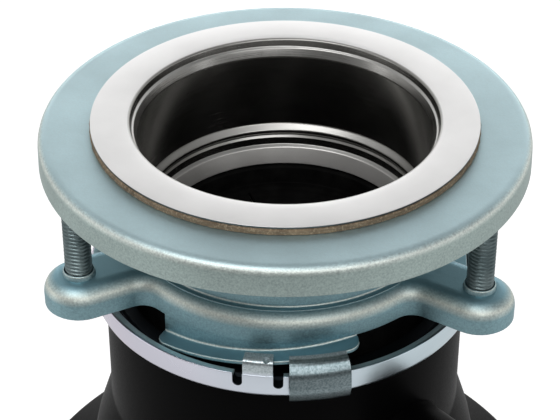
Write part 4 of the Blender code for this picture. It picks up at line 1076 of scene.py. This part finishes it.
def elbow_flange():
    """Clamp plate that holds the elbow to the sump."""
    lowest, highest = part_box("elbow_flange")
    clamp = plate("elbow_flange_fine", rectangle(46.0, 66.0, 8.0), 1.5, -1.5, 0.5)
    clamp.data.transform(Matrix.Translation((lowest + highest) / 2) @ ON_EDGE)
    near, far = lowest.x / MM - 2.0, highest.x / MM + 2.0
    cut(clamp, outlet_bar("flange_bore", ELBOW_RADIUS + 0.6, near, far, PIPE_ROUND), *screw_holes(near, far))
    stand_for(clamp, "elbow_flange")


def base_fittings():
    """Wiring cover and reset button."""
    lowest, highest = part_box("wiring_cover")
    size, top, bottom = (highest - lowest) / MM, highest.z / MM, lowest.z / MM
    cover = plate("wiring_cover_fine", rectangle(size.x, size.y, 4.0), top, bottom, 0.4)
    cover.data.transform(Matrix.Translation(((lowest.x + highest.x) / 2, (lowest.y + highest.y) / 2, 0.0)))
    cut(cover, cylinder("cover_hole", SCREW_HOLE, top + 4.0, bottom - 4.0, SMALL_ROUND,
                        centre_of("wiring_cover_screw")))
    stand_for(cover, "wiring_cover")
    top, bottom = high("reset_button"), low("reset_button")
    outline = rounded([(0.0, top), (5.0, top, 0.3), (5.0, bottom, 1.2), (0.0, bottom)], 0.3, closed=False)
    stand_for(lathe("reset_button_fine", outline, FINE_ROUND, centre_of("reset_button")), "reset_button")


def base_screws():
    """Screws with cross recesses in their heads."""
    for name in ("ground_screw", "wiring_cover_screw", "shell_screw_1", "shell_screw_2", "shell_screw_3"):
        place, tip, head = centre_of(name), high(name), low(name)
        width = (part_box(name)[1].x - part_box(name)[0].x) / MM / 2
        seat = head + (2.7 if "shell" in name else 2.3)
        outline = rounded([(0.0, tip), (1.2, tip, 0.2), (2.0, tip - 1.2, 0.3), (2.0, seat, 0.2),
                           (width, seat, 0.3), (width, head, 1.0), (0.0, head)], 0.3, closed=False)
        screw = lathe(name + "_fine", outline, FINE_ROUND, place)
        cut(screw, block("cross", (0.9 * width, 1.1, 2.6), (*place, head)),
            block("cross", (1.1, 0.9 * width, 2.6), (*place, head)))
        stand_for(screw, name)


def stand_ins():
    """Gives every CAD node its own finish, for those that stay in view."""
    for node, made in frame["nodes"].items():
        made.data.materials.clear()
        made.data.materials.append(FINISH[SLOT_OF[node]])


camera()
studio()
stand_ins()
flange()
gasket()
backing_ring()
mounting_ring()
mounting_bolts()
snap_ring()
swivel_ring()
cushion_and_guard()
upper_housing()
grind_chamber()
lower_shell()
drain_housing()
waste_elbow()
elbow_flange()
base_fittings()
base_screws()
